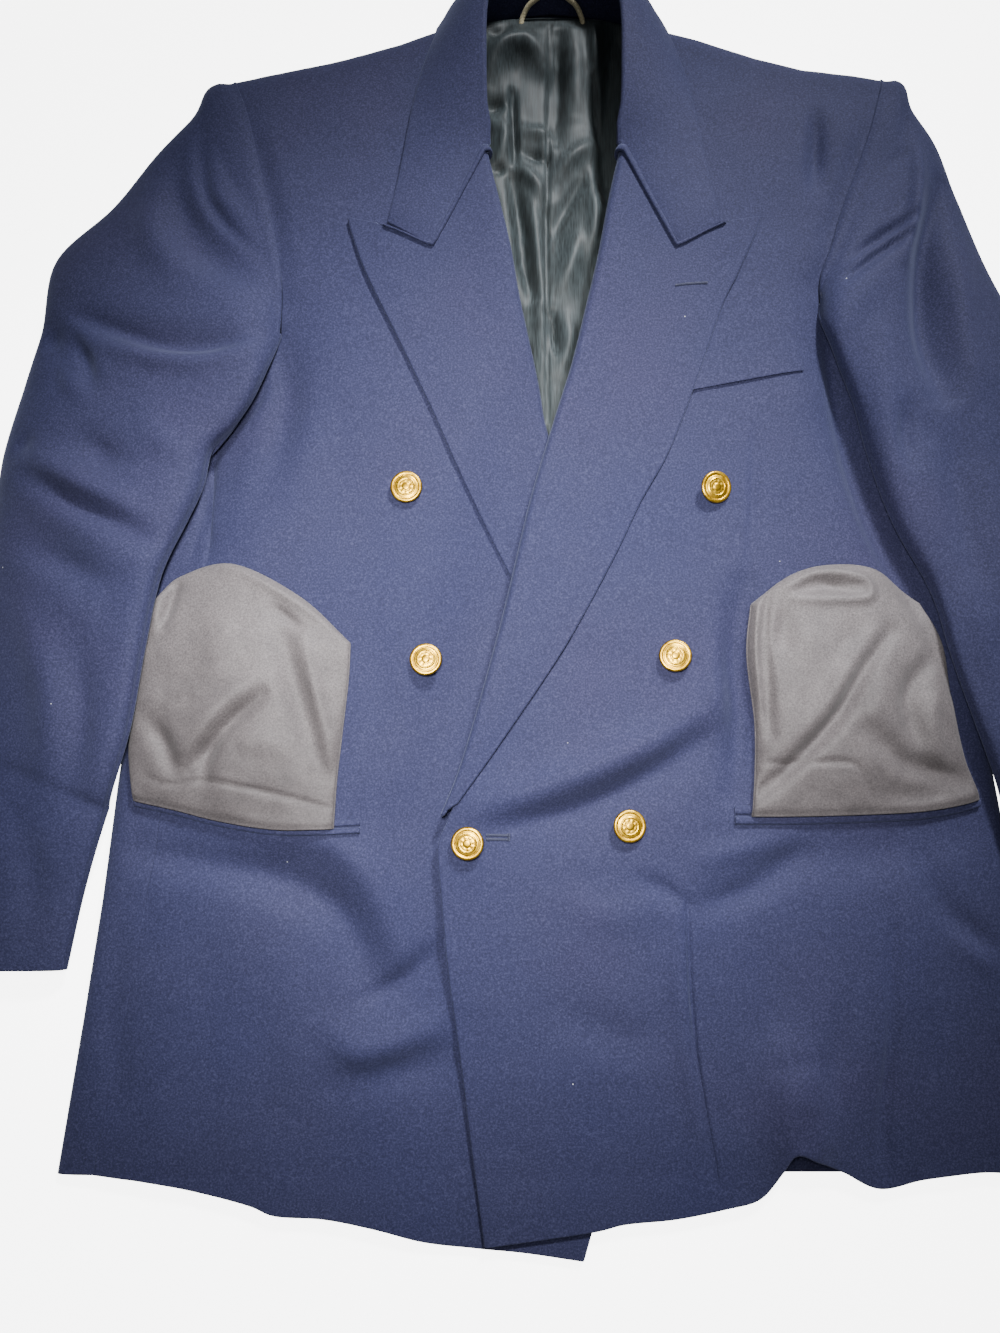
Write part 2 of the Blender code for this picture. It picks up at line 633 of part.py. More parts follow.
def settle(points):
    """Points given height 0 lie on the fronts."""
    settled = points.copy()
    for p in settled:
        if p[2] < 26 and p[1] < 520:
            side = "right" if p[0] < NECK_CENTRE_X else "left"
            p[2] = front_top(side, p[0], p[1]) + LAYER_GAP + COLLAR_CLOTH + 1.0
    return settled


def collar_stations(name):
    half = [getattr(s, name) for s in COLLAR if getattr(s, name) is not None]
    rows = np.array(half + [mirrored(p) for p in half[-2::-1]], float)
    return settle(rows)


def collar_leaf(material):
    fold = dense(collar_stations("fold"), COLLAR_STEPS)
    edge = dense(collar_stations("edge"), COLLAR_STEPS)
    span = edge - fold
    grid = []
    half = [row.bow for row in COLLAR]
    bow = np.interp(np.linspace(0, 1, len(fold)), np.linspace(0, 1, 2 * len(half) - 1), half + half[-2::-1])
    for share, rise in LEAF_SECTION:
        grid.append(fold + span * share + outward(fold, edge) * (rise * bow)[:, None])
    wall("collar_leaf", np.stack(grid, axis=1), COLLAR_CLOTH, material)


def outward(fold, edge):
    """Unit vectors square to the leaf, pointing away from the neck."""
    along = np.gradient(fold, axis=0)
    n = np.cross(fold - edge, along)
    return n / np.linalg.norm(n, axis=1, keepdims=True)


def collar_stand(material):
    fold = dense(collar_stations("fold")[2:-2], COLLAR_STEPS)
    seam = dense(collar_stations("seam"), COLLAR_STEPS)
    edge = dense(collar_stations("edge")[2:-2], COLLAR_STEPS)
    inner_face = []
    below = fold - outward(fold, edge) * (COLLAR_CLOTH + 0.6)
    for share in (0.0, 0.35, 0.7, 1.0):
        inner_face.append(below + (seam - below) * share)
    grid = np.stack(inner_face, axis=1)[2:-2]
    wall("collar_stand", turned(grid), COLLAR_CLOTH, material)


# Sleeves
def over_body(side, x, y, room=4.5):
    """Height of cloth that lies over the body's side and falls to the surface beside it.

    Above the waist it falls like a tent from a line 20 mm inside the body's edge.
    """
    d = side_distance(x, y)
    ridge, foot = 20.0, -30.0
    on_ridge = x + sign_of(side) * np.minimum(d - ridge, 0)
    height = front_top(side, on_ridge, y) + room
    reach = np.clip((ridge - d) / (ridge - foot), 0, 1)
    tent = height * (1 - reach**2) ** 0.7
    close = np.where(d > 0, front_top(side, x, y) + room, (column(BODY, "edge", y) + room) * smooth((d - foot) / 30))
    return close + (tent - close) * smooth((y - 40) / 80)


def round_body(x, y):
    """Height of cloth behind the body: it rises only to meet the underarm."""
    d = side_distance(x, y)
    edge = column(BODY, "edge", y)
    behind = edge * (1 - round_edge(d, 12))
    beside = edge * smooth((d + 30) / 30)
    return np.where(d > 0, behind, beside) * (1 - smooth((y - UNDERARM_Y) / 40))


def sleeve_frame(side):
    """Plan grid of the upper half, and for each point its share across and along."""
    rows = SLEEVE[side]
    across = eased(ARMHOLE_ROWS)
    along = np.linspace(0, 1, SLEEVE_ROWS + 1) ** 0.9
    at = np.linspace(0, 1, len(rows))
    outer_path = dense([r.outer for r in rows], 8)
    inner_path = dense([r.inner for r in rows], 8)
    index = np.linspace(0, 1, len(outer_path))
    outer = np.stack([np.interp(along, index, outer_path[:, k]) for k in (0, 1)], axis=1)
    inner = np.stack([np.interp(along, index, inner_path[:, k]) for k in (0, 1)], axis=1)
    rise = np.interp(along, at, [r.rise for r in rows])
    lift = np.interp(along, at, [r.lift for r in rows])
    return across, along, outer, inner, rise, lift


def cuff_line(outer, inner, shares):
    return outer[-1] + (inner[-1] - outer[-1]) * shares[:, None]


def sleeve(side, material):
    out = sign_of(side)
    across, along, outer, inner, rise, lift = sleeve_frame(side)
    seam = armhole_path(side)[::-1]
    seam = shifted(seam, out * SLEEVE_SEAM_GAP)
    outer[0], inner[0] = seam[0], seam[-1]
    plan = coons(outer, inner, seam, cuff_line(outer, inner, across), across, along)
    x, y = plan[..., 0], plan[..., 1]
    arch = (1 - abs(2 * across - 1) ** 2.6) ** (1 / 2.6)
    base = over_body(side, inner[:, 0], inner[:, 1])[:, None] * across
    on_body = smooth(side_distance(inner[:, 0], inner[:, 1]) / 30)
    edge_lift = lift[:, None] * (1 - 0.45 * on_body[:, None] * across)
    z = base + edge_lift + (rise - lift)[:, None] * arch[None, :]
    z += folds(x, y, SLEEVE_FOLDS[side]) * arch[None, :]
    at_seam = front_top(side, seam[:, 0], seam[:, 1]) + 1.0
    at_seam[0] = SHOULDER_EDGE_Z + 1.0
    joinery = smooth(along / 0.16)[:, None]
    z = at_seam[None, :] * (1 - joinery) + z * joinery
    upper = on_plan(plan, z)
    under = under_sleeve_grid(side, outer, inner, along, upper)
    upper = upper if out < 0 else turned(upper)
    wall(f"sleeve_top_{side}", upper[::-1], SUITING, material, last_row=(0, 0, 1))
    wall(f"sleeve_under_{side}", under[::-1, ::-1], SUITING, material, last_row=(0, 0, -1))


def under_armhole(side):
    """The under sleeve's seam: down the back armhole, round the underarm and up over the front's lower armhole.

    Returns the path and the number of its points before the underarm.
    """
    out = sign_of(side)
    back = dense(ARMHOLE_BACK[side])[::-1]
    round_side = [(column(BODY, side, UNDERARM_Y) - out * inward, UNDERARM_Y + climb)
                  for inward, climb in reversed(SIDE_WRAP[:-1])]
    low = dense(ARMHOLE_LOW[side])
    path = np.vstack([back, round_side, low])
    path[:, 0] += out * SLEEVE_SEAM_GAP
    path[len(back) + len(round_side):, 1] += 1.5
    return path, len(back) + len(round_side)


def under_sleeve_grid(side, outer, inner, along, upper):
    """The under sleeve: from the outer fold across the surface, up over the body's side, to the inner fold."""
    out = sign_of(side)
    path, turn = under_armhole(side)
    at_turn = fractions_of(path)[turn - 1]
    w = np.concatenate([np.linspace(0, at_turn, 9), np.linspace(at_turn, 1, 5)[1:]])
    top = sample(path, w)
    top[0], top[-1] = outer[0], inner[0]
    straight = outer[0] + (inner[0] - outer[0]) * w[:, None]
    fade = np.stack([(1 - along) ** 2, 1 - along], axis=1)
    plan = outer[:, None] * (1 - w[None, :, None]) + inner[:, None] * w[None, :, None]
    plan += fade[:, None] * (top - straight)[None]
    x, y = plan[..., 0], plan[..., 1]
    on_body = smooth((w - at_turn + 0.18) / 0.18)[None, :]
    base = round_body(x, y) * (1 - on_body) + over_body(side, x, y) * on_body
    edge_z = upper[:, 0, 2][:, None] * (1 - w) + upper[:, -1, 2][:, None] * w - SLEEVE_EDGE_DROP
    rim = abs(2 * w - 1) ** 9
    z = base + (edge_z - base) * rim[None, :]
    grid = on_plan(plan, z)
    return grid if out < 0 else turned(grid)


# Pockets
def pocket_jet(side, edge, material):
    """One lip of the hip pocket's opening."""
    out = sign_of(side)
    line = sample(dense(POCKET_LINE[side]), np.linspace(0, 1, 13))
    depth = JET_DEPTH[side]
    offsets = (-depth, -0.6) if edge == "lower" else (0.6, depth)
    plan = np.stack([shifted(line, 0, o) for o in offsets])
    x, y = plan[..., 0], plan[..., 1]
    z = resting(side, x, y) + JET_THICKNESS
    grid = on_plan(plan, z)
    wall(f"pocket_jet_{edge}_{side}", grid if out > 0 else turned(grid), JET_THICKNESS, material)


def resting(side, x, y, reach=4.0):
    """A height just clear of the front's facets: the highest of a few samples around each point."""
    heights = [front_top(side, x + dx, y + dy) for dx in (-reach, 0, reach) for dy in (-reach, 0, reach)]
    return np.max(heights, axis=0) + 0.3


def pocket_bag(side, material):
    """The pocket bag turned out: an under layer and an upper layer in one cloth, folded at the top."""
    out = sign_of(side)
    across = eased(7)
    along = np.linspace(0, 1, 7)
    inner = sample(dense(BAG_INNER[side]), along)
    outer = sample(dense(BAG_OUTER[side]), along)
    bottom = sample(np.array([inner[0], outer[0]]), across)
    top = sample(dense(BAG_TOP[side]), across)
    plan = coons(inner, outer, bottom, top, across, along)
    x, y = plan[..., 0], plan[..., 1]
    over_jet = (JET_THICKNESS + 0.6) * (1 - smooth(along / 0.2))[:, None]
    low = resting(side, x, y, 8.0) + 0.3 + over_jet
    pillow = (1 - abs(2 * across - 1) ** 2.5)[None, :] * (1 - along[:, None] ** 4)
    puff = 2.2 * POCKETING + 0.6 + 8.0 * pillow * smooth(along / 0.25)[:, None]
    upper = on_plan(plan, low + puff)
    under = on_plan(plan, low)
    away = plan[-1:] - plan[-2:-1]
    away *= (0.6 + 1.2 * np.sin(np.pi * across))[None, :, None] / np.linalg.norm(away, axis=2, keepdims=True)
    tip = on_plan(plan[-1:] + away, low[-1:] + puff[-1:] / 2)
    sheet = np.concatenate([upper, tip, under[::-1]], axis=0)
    wall(f"pocket_bag_{side}", turned(sheet) if out < 0 else sheet, POCKETING, material)


def breast_welt(material):
    """Breast pocket welt on the left front, its inner end covered by the lapel."""
    a, b, c, d = (np.array(p, float) for p in BREAST_WELT)
    across = np.linspace(0.24, 1, 6)[None, :, None]
    along = np.linspace(0, 1, 3)[:, None, None]
    plan = (1 - along) * ((1 - across) * a + across * b) + along * ((1 - across) * d + across * c)
    z = resting("left", plan[..., 0], plan[..., 1], 5.0) + JET_THICKNESS
    wall("breast_pocket_welt", on_plan(plan, z), JET_THICKNESS, material)


# Buttons and hanging loop
def button(name, x, y, height, material):
    """A domed blazer button, spun from its profile."""
    points = [(r * BUTTON_RADIUS, z * BUTTON_THICKNESS) for r, z in BUTTON_PROFILE]
    build = bmesh.new()
    profile = [build.verts.new((r * MM, 0, z * MM)) for r, z in points]
    edges = [build.edges.new(pair) for pair in zip(profile, profile[1:])]
    bmesh.ops.spin(build, geom=profile + edges, cent=(0, 0, 0), axis=(0, 0, 1), angle=math.tau, steps=16,
                   use_merge=True)
    bmesh.ops.remove_doubles(build, verts=build.verts, dist=0.01 * MM)
    bmesh.ops.recalc_face_normals(build, faces=build.faces)
    mesh = bpy.data.meshes.new(name)
    build.to_mesh(mesh)
    build.free()
    mesh.materials.append(material)
    mesh.shade_smooth()
    obj = bpy.data.objects.new(name, mesh)
    obj.location = (x * MM, y * MM, height * MM)
    bpy.context.scene.collection.objects.link(obj)


def place_buttons(material):
    for row in BUTTONS:
        side = "right" if row.name in ("top_right", "middle_right") else "left"
        under = resting(side, np.array(row.x), np.array(row.y), row.reach)
        button(f"button_{row.name}", row.x, row.y, float(under), material)


def hang_loop(material):
    """A round cord whose ends are caught in the lining's seam."""
    path = dense(HANG_LOOP, 3)
    along = np.gradient(path, axis=0)
    along /= np.linalg.norm(along, axis=1, keepdims=True)
    across = np.cross(along, (0, 0.6, -0.8))
    across /= np.linalg.norm(across, axis=1, keepdims=True)
    square = np.cross(along, across)
    turn = np.arange(8) * math.tau / 8
    rings = (path[:, None] + HANG_LOOP_RADIUS * (across[:, None] * np.cos(turn)[None, :, None]
                                                 + square[:, None] * np.sin(turn)[None, :, None]))
    count = len(path)
    faces = [tuple(range(7, -1, -1)), tuple((count - 1) * 8 + k for k in range(8))]
    for i in range(count - 1):
        for k in range(8):
            n = (k + 1) % 8
            faces.append((i * 8 + k, i * 8 + n, (i + 1) * 8 + n, (i + 1) * 8 + k))
    new_object("hang_loop", rings.reshape(-1, 3) * MM, faces, material)


def centre_on_origin():
    """Moves the finished parts so that the whole box is centred over the origin and stands at height 0."""
    bpy.context.view_layer.update()
    corners = []
    for obj in bpy.context.scene.objects:
        corners += [obj.matrix_world @ Vector(corner) for corner in obj.bound_box]
    low = [min(c[k] for c in corners) for k in range(3)]
    high = [max(c[k] for c in corners) for k in range(3)]
    for obj in bpy.context.scene.objects:
        obj.location.x -= (low[0] + high[0]) / 2
        obj.location.y -= (low[1] + high[1]) / 2
        obj.location.z -= low[2]


def main():
    for obj in list(bpy.data.objects):
        bpy.data.objects.remove(obj)
    navy = make_material("navy_wool", NAVY, 0.85)
    lining = make_material("lining_satin", LINING_GREY, 0.35)
    pocketing = make_material("pocketing", POCKET_GREY, 0.8)
    brass = make_material("brass", BRASS, 0.3, 1.0)
    for side in ("right", "left"):
        back_panel(side, navy)
        side_panel(side, navy)
        front_panel(side, navy)
        lapel = lapel_grid(side)
        wall(f"lapel_{side}", lapel, LAPEL_CLOTH, navy, first_row=unit_normals(lapel)[1])
        sleeve(side, navy)
        for edge in ("lower", "upper"):
            pocket_jet(side, edge, navy)
        pocket_bag(side, pocketing)
    lining_panel(lining)
    collar_leaf(navy)
    collar_stand(navy)
    breast_welt(navy)
    place_buttons(brass)
    hang_loop(lining)
    centre_on_origin()


main()
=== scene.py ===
"""Double-breasted blazer lying on its back, front up, with both hip pockets turned out.

Tables are in millimetres on the plan, with +X towards the wearer's left sleeve and +Y from the hem to the
collar. "right" and "left" are the wearer's. Meshes are in metres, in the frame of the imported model.
"""

import math
from collections import namedtuple

import bmesh
import bpy
import numpy as np
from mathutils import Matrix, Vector


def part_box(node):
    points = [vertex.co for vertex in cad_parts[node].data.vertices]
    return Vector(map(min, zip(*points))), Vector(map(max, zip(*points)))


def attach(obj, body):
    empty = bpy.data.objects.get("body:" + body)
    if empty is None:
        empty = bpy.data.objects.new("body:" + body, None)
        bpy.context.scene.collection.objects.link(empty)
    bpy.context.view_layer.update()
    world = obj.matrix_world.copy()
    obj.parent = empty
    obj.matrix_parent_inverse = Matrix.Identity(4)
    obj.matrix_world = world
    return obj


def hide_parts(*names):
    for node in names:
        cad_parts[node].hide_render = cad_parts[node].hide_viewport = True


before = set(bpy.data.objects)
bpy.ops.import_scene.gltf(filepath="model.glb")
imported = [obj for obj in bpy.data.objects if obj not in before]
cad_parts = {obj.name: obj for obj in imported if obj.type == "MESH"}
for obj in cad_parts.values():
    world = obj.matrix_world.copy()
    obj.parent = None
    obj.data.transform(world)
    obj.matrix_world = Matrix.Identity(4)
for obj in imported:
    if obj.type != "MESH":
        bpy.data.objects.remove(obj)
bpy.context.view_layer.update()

MM = 0.001

# Grid steps, and the rounded lengths that they are counted on
STEP = 3.0
PLAIN_STEP = 6.0
LAPEL_STEP = 2.0
BAG_STEP = 1.7
TRIM_STEP = 1.6
EDGE_STEPS = (0.6, 1.4, 2.6)
FRONT_WIDTH = 280.0
BACK_WIDTH = 300.0
LAPEL_WIDTH = 75.0
SLEEVE_LENGTH = 640.0
WELT_WIDTH = 76.0
WELT_HEIGHT = 24.0
SLEEVE_COLUMNS = 64
# Columns of the under sleeve before and after the underarm
UNDER_COLUMNS = (28, 16)
LINING_COLUMNS = 92
LINING_ROWS = 186
JET_ROWS = 9
LAPEL_ROLL_STEPS = 10
COLLAR_STEPS = 2
LEAF_STEPS = 8
COLLAR_ROLL_STEPS = 9
COLLAR_FOOT_STEPS = 13
# Side panel: columns on the front, at its narrow outermost part and on the back
SIDE_COLUMNS = (20, 3, 14)
# Share of the left front's width, from the side seam, that holds its sharp pressed crease
CREASE_SPAN = (0.525, 0.585)
CREASE_COLUMNS = 22

# Cloth thicknesses
SUITING = 1.6
LAPEL_CLOTH = 2.4
COLLAR_CLOTH = 2.2
LINING_CLOTH = 1.0
POCKETING = 1.0
TRIM_CLOTH = 0.9

# Gaps between pieces
SEAM_GAP = 0.5
SLEEVE_SEAM_GAP = 0.2
LAYER_GAP = 1.0
LAPEL_GAP = 1.6
LAPEL_EDGE_GAP = 0.7
JET_GAP = 0.6
SLEEVE_ROOM = 4.5

# How far the face cloth is turned in at the hem, the front edge and the cuff
HEM_TURN = 35
FACING = 70
CUFF_TURN = 40

# Heights, depths and radii of the cloth's forms
FRONT_ROUND = 16.0
BACK_ROUND = 12.0
SHOULDER_SEAM = 0.8
LAPEL_EDGE_GROOVE = 0.9
COLLAR_ROLL = 2.3
HEAD_PUSH = 9.5
SLEEVE_HEAD = 2.2
SLEEVE_EDGE_DROP = 3.2
ARCH_POWER = 2.6
LINING_LOFT = 7.5
UPPER_LIP = 0.9
LOWER_LIP = 2.5
BAG_EDGE = 2.4
BAG_PUFF = 6.5
BAG_OVER_JET = 2.0
BAG_DIVE = 1.6
BAG_BELOW_SLIT = 0.5
# Height on the plan where the pocketing's painted shade is darkest, and the way up over which it fades out
BAG_FOOT = -180.0
BAG_LENGTH = 170.0

# The jacket's main measures
HEM_Y = -238.0
UNDERARM_Y = 262.0
BACK_LENGTH_TOP = 566.0
NECK_CENTRE_X = 3.0
SHOULDER_EDGE_Z = 15.0
# The collar lies below the back's neck: how far it lifts the back, and where the lift starts and fades
NECK_LIFT = 6.5
NECK_LIFT_FROM = 505.0
NECK_LIFT_WAY = 42.0
NECK_LIFT_HALF_WIDTH = 76.0
NECK_LIFT_FADE = 34.0

# Buttons
BUTTON_RADIUS = 10.5
BUTTON_THICKNESS = 4.2
BUTTON_SIDES = 120
# Shares of the radius and of the thickness, from the middle of the underside to the middle of the face
BUTTON_FACE = [(0.0, 0.0), (0.5, 0.0), (0.80, 0.10), (0.95, 0.34), (1.0, 0.55), (0.985, 0.72), (0.93, 0.84),
               (0.86, 0.87), (0.79, 0.84), (0.765, 0.76), (0.73, 0.76), (0.66, 0.82), (0.60, 0.845),
               (0.545, 0.92), (0.52, 0.935), (0.495, 0.90), (0.45, 0.88), (0.36, 0.91), (0.27, 0.90),
               (0.235, 0.93), (0.21, 0.985), (0.15, 1.03), (0.08, 1.05), (0.0, 1.055)]
# Raised rings of the face: middle and half width as shares of the radius, and height
ROPE = (0.87, 0.055, 0.14)
ROPE_TURNS = 30
ROPE_LEAN = 30
PETAL_RING = (0.36, 0.09, 0.08)
PETALS = 8
# Radii and heights of the shank below a button
SHANK = [(0, -2.4), (1.9, -2.4), (1.6, -0.6), (2.6, 0.3), (0, 0.4)]
SHANK_SIDES = 24

# Buttonhole thread
STITCH_REACH = 1.9
STITCH_PITCH = 0.62
STITCH_RADIUS = 0.3
BAR_RINGS = 7
BAR_SIDES = 6

# The lapel's fold: how far inside the roll line the front ends and the curve begins, and the curve's radius
ROLL_TO_FRONT = 7.5
ROLL_TO_LAPEL = 5.5
ROLL_RADIUS = 4.4
LAPEL_BULGE = 2.2
GORGE_ON_LEAF = 0.9516

# Side panels: how far in from the fold's outermost line, and how much higher the armhole is cut there
SIDE_WRAP = [(0.0, 0.0), (1.2, 5.0), (4.0, 17.0), (8.0, 32.0), (12.0, 45.0), (20.0, 72.0)]

# Collar leaf, from its edge to its fold: share of the way from the fold, and share of the station's bow
LEAF_SECTION = [(1.0, 0.0), (0.72, 0.75), (0.45, 1.0), (0.2, 0.75), (0.0, 0.0)]

Row = namedtuple("Row", "y right left crown edge dip")
# right and left: the side edges. crown: height of the front above the surface. edge: height of the side
# fold's outermost line. dip: how far the right front passes below the left one.
BODY = [
    Row(y=-292, right=-318, left=326, crown=7.5, edge=3.6, dip=2.7),
    Row(y=-238, right=-314, left=322, crown=9, edge=4, dip=3.4),
    Row(y=-144, right=-302, left=311, crown=15, edge=6, dip=6),
    Row(y=-69, right=-293, left=303, crown=21, edge=8, dip=8.5),
    Row(y=5, right=-286, left=292, crown=27, edge=10, dip=11),
    Row(y=88, right=-277, left=280, crown=32, edge=12, dip=13),
    Row(y=141, right=-270, left=272, crown=34, edge=12, dip=13),
    Row(y=200, right=-265, left=266, crown=35, edge=12, dip=13),
    Row(y=262, right=-262, left=262, crown=36, edge=12, dip=13),
    Row(y=400, right=-262, left=262, crown=36, edge=14, dip=13),
    Row(y=480, right=-262, left=262, crown=34, edge=15, dip=0),
    Row(y=560, right=-262, left=262, crown=30, edge=15, dip=0),
]

# Seams and edges on the plan. Upright ones run upwards, the shoulder line runs from the wearer's right to
# their left, and the others run from the side inwards.
SHOULDER_LINE = [(-242, 500), (-224, 505), (-178, 516), (-142, 525), (-106, 536), (-80, 546), (-60, 553),
                 (3, 560), (66, 553), (85, 546), (111, 538), (147, 525), (182, 515), (218, 511),
                 (239, 507), (259, 503)]
SIDE_SEAM = {
    "right": [(-290, -238), (-283, -193), (-264, -85), (-251, 0), (-240, 60), (-229, 130), (-227, 175),
              (-229, 220), (-231, 265)],
    "left": [(298, -238), (290, -193), (271, -85), (258, 0), (247, 60), (238, 130), (235, 175), (234, 220),
             (232, 265)],
}
ARMHOLE_LOW = {
    "right": [(-231, 265), (-212, 272), (-195, 286), (-183, 308)],
    "left": [(232, 265), (212, 276), (196, 298), (184, 330)],
}
ARMHOLE_FRONT = {
    "right": [(-183, 308), (-182, 333), (-184, 356), (-192, 394), (-202, 435), (-211, 471), (-224, 505)],
    "left": [(184, 330), (185, 350), (193, 372), (204, 405), (215, 433), (226, 464), (239, 507)],
}
ARMHOLE_BACK = {
    "right": [(-242, 334), (-234, 372), (-227, 440), (-224, 505)],
    "left": [(242, 334), (238, 372), (236, 440), (239, 507)],
}
ROLL_LINE = {
    "right": [(75, -14), (62, 14), (48, 61), (32, 121), (15, 193), (-1, 244), (-7, 277), (-19, 331),
              (-26, 372), (-37, 420), (-42, 443)],
    "left": [(-73, -14), (-62, 14), (-48, 61), (-32, 121), (-15, 193), (1, 247), (13, 286), (23, 327),
             (31, 361), (40, 408), (48, 443)],
}
FRONT_EDGE = {
    "right": [(18, -290), (38, -224), (50, -170), (60, -129), (66, -96), (72, -62), (74, -34), (68, -16)],
    "left": [(-43, -281), (-51, -224), (-58, -170), (-64, -129), (-68, -96), (-71, -62), (-73, -34),
             (-66, -16)],
}
NECK_FRONT = {
    "right": [(-49, 446), (-62, 480), (-68, 520), (-68, 550)],
    "left": [(57, 449), (68, 482), (74, 520), (74, 550)],
}
HEM = {
    "right": [(-290, -238), (-255, -242), (-223, -248), (-191, -256), (-175, -262), (-144, -264),
              (-112, -270), (-81, -278), (-50, -282), (-18, -285), (18, -290)],
    "left": [(298, -238), (270, -236), (233, -240), (205, -246), (183, -236), (165, -228), (150, -223),
             (140, -238), (128, -252), (107, -258), (75, -264), (44, -267), (22, -272), (-43, -281)],
}
LAPEL_OUTER = {
    "right": [(63, -5), (34, 33), (0, 88), (-25, 141), (-59, 210), (-80, 257), (-102, 304), (-124, 350),
              (-134, 378), (-137, 389)],
    "left": [(-62, -6), (-34, 33), (7, 94), (38, 150), (58, 191), (76, 223), (93, 265), (114, 324),
             (126, 349), (138, 376), (143, 390)],
}
GORGE = {
    "right": [(-137, 389), (-110, 382), (-80, 368), (-60, 407), (-42, 443)],
    "left": [(143, 390), (117, 384), (86, 368), (66, 407), (48, 443)],
}

# The back's neck seam, as distances from the centre and places upwards, and the neck opening's lining
BACK_NECK = [(52, 557), (32, 564)]
LINING_SIDE = {
    "right": [(-70, 215), (-70, 400), (-68, 500), (-58, 554)],
    "left": [(76, 215), (76, 400), (74, 500), (64, 554)],
}
LINING_TOP = [(-58, 554), (-30, 562), (3, 565), (36, 562), (64, 554)]

Station = namedtuple("Station", "fold edge seam bow")
# The collar's half, from its front end to the centre back: the fold, the leaf's outer edge, the neck seam
# and how far the leaf bows out between fold and edge. Points at height 0 are set down on the fronts.
COLLAR = [
    Station(fold=(-80.6, 368.3, 0), edge=(-110, 386, 0), seam=None, bow=1.5),
    Station(fold=(-60.7, 407.4, 0), edge=(-104, 414, 0), seam=None, bow=2.0),
    Station(fold=(-42.2, 444.2, 40.5), edge=(-100, 438, 0), seam=(-42.5, 446, 38), bow=2.2),
    Station(fold=(-45, 470, 48), edge=(-95, 470, 0), seam=(-54, 471, 37), bow=2.2),
    Station(fold=(-46, 505, 53), edge=(-88, 505, 0), seam=(-62, 505, 36), bow=2.2),
    Station(fold=(-46, 535, 54), edge=(-80, 533, 32), seam=(-65, 536, 27), bow=3.0),
    Station(fold=(-42, 562, 51), edge=(-78, 557, 12), seam=(-61, 555, 10), bow=5.0),
    Station(fold=(-27, 584, 42), edge=(-56, 566, 4), seam=(-38, 564, 8), bow=9.0),
    Station(fold=(3, 596, 35), edge=(3, 556, 0.6), seam=(3, 568, 11.5), bow=10.0),
]

SleeveRow = namedtuple("SleeveRow", "outer inner rise lift")
# outer and inner: the folded edges on the plan. rise: the tube's height over what it lies on. lift: height
# of its folded edges. Rows run from the shoulder to the cuff.
SLEEVE = {
    "right": [
        SleeveRow((-224, 505), (-183, 308), 32, 14),
        SleeveRow((-273, 456), (-189, 286), 32, 15),
        SleeveRow((-307, 410), (-199, 262), 32, 15),
        SleeveRow((-345, 370), (-212, 243), 32, 15),
        SleeveRow((-352, 320), (-227, 226), 33, 14),
        SleeveRow((-362, 276), (-233, 196), 33, 14),
        SleeveRow((-373, 228), (-254, 141), 34, 13),
        SleeveRow((-378, 175), (-264, 88), 31, 12),
        SleeveRow((-388, 110), (-273, 35), 27, 11),
        SleeveRow((-408, 30), (-289, -14), 22, 9),
        SleeveRow((-440, -54), (-304, -65), 17, 7.5),
        SleeveRow((-462, -112), (-314, -112), 14, 6.5),
    ],
    "left": [
        SleeveRow((239, 507), (184, 330), 32, 14),
        SleeveRow((273, 462), (184, 312), 32, 15),
        SleeveRow((288, 418), (193, 286), 32, 15),
        SleeveRow((306, 364), (204, 258), 32, 15),
        SleeveRow((332, 306), (213, 222), 33, 14),
        SleeveRow((352, 250), (227, 176), 33, 14),
        SleeveRow((364, 196), (247, 132), 34, 13),
        SleeveRow((374, 140), (257, 90), 31, 12),
        SleeveRow((388, 70), (271, 45), 27, 11),
        SleeveRow((410, 0), (286, 0), 22, 9),
        SleeveRow((438, -62), (300, -58), 17, 7.5),
        SleeveRow((460, -112), (316, -112), 14, 6.5),
    ],
}

Fold = namedtuple("Fold", "path height width")
# Ridges (height above 0) and troughs (below 0) along a path, with the half width over which they fade.
FRONT_FOLDS = {
    "right": [
        Fold([(-185, 312), (-196, 268), (-222, 228), (-238, 180)], -11, 26),
        Fold([(-181, 285), (-179, 245), (-193, 195)], -4, 14),
        Fold([(-240, -22), (-175, -43), (-134, -72), (-112, -118), (-90, -122), (-74, -100)], -3.4, 16),
        Fold([(-150, -172), (-90, -150)], 2.5, 18),
        Fold([(-183, 335), (-187, 375), (-198, 425), (-211, 468)], -3.2, 8),
    ],
    "left": [
        Fold([(190, 335), (203, 262), (221, 196), (244, 140)], -14, 24),
        Fold([(190, 455), (187, 385)], -3, 12),
        Fold([(-48, -8), (6, 12), (72, 40), (105, 66)], 3.5, 14),
        Fold([(-30, -34), (36, -14), (72, 8), (108, 38)], -3, 12),
        Fold([(122, -40), (200, -38), (280, -22)], -3.5, 16),
        Fold([(152, -240), (156, -205), (150, -170)], 13, 20),
        Fold([(238, -60), (222, -130), (200, -180)], 3, 16),
        Fold([(205, -246), (208, -180), (216, -90)], -2.5, 12),
        Fold([(186, 345), (195, 378), (207, 418), (221, 456)], -4.0, 9),
    ],
}
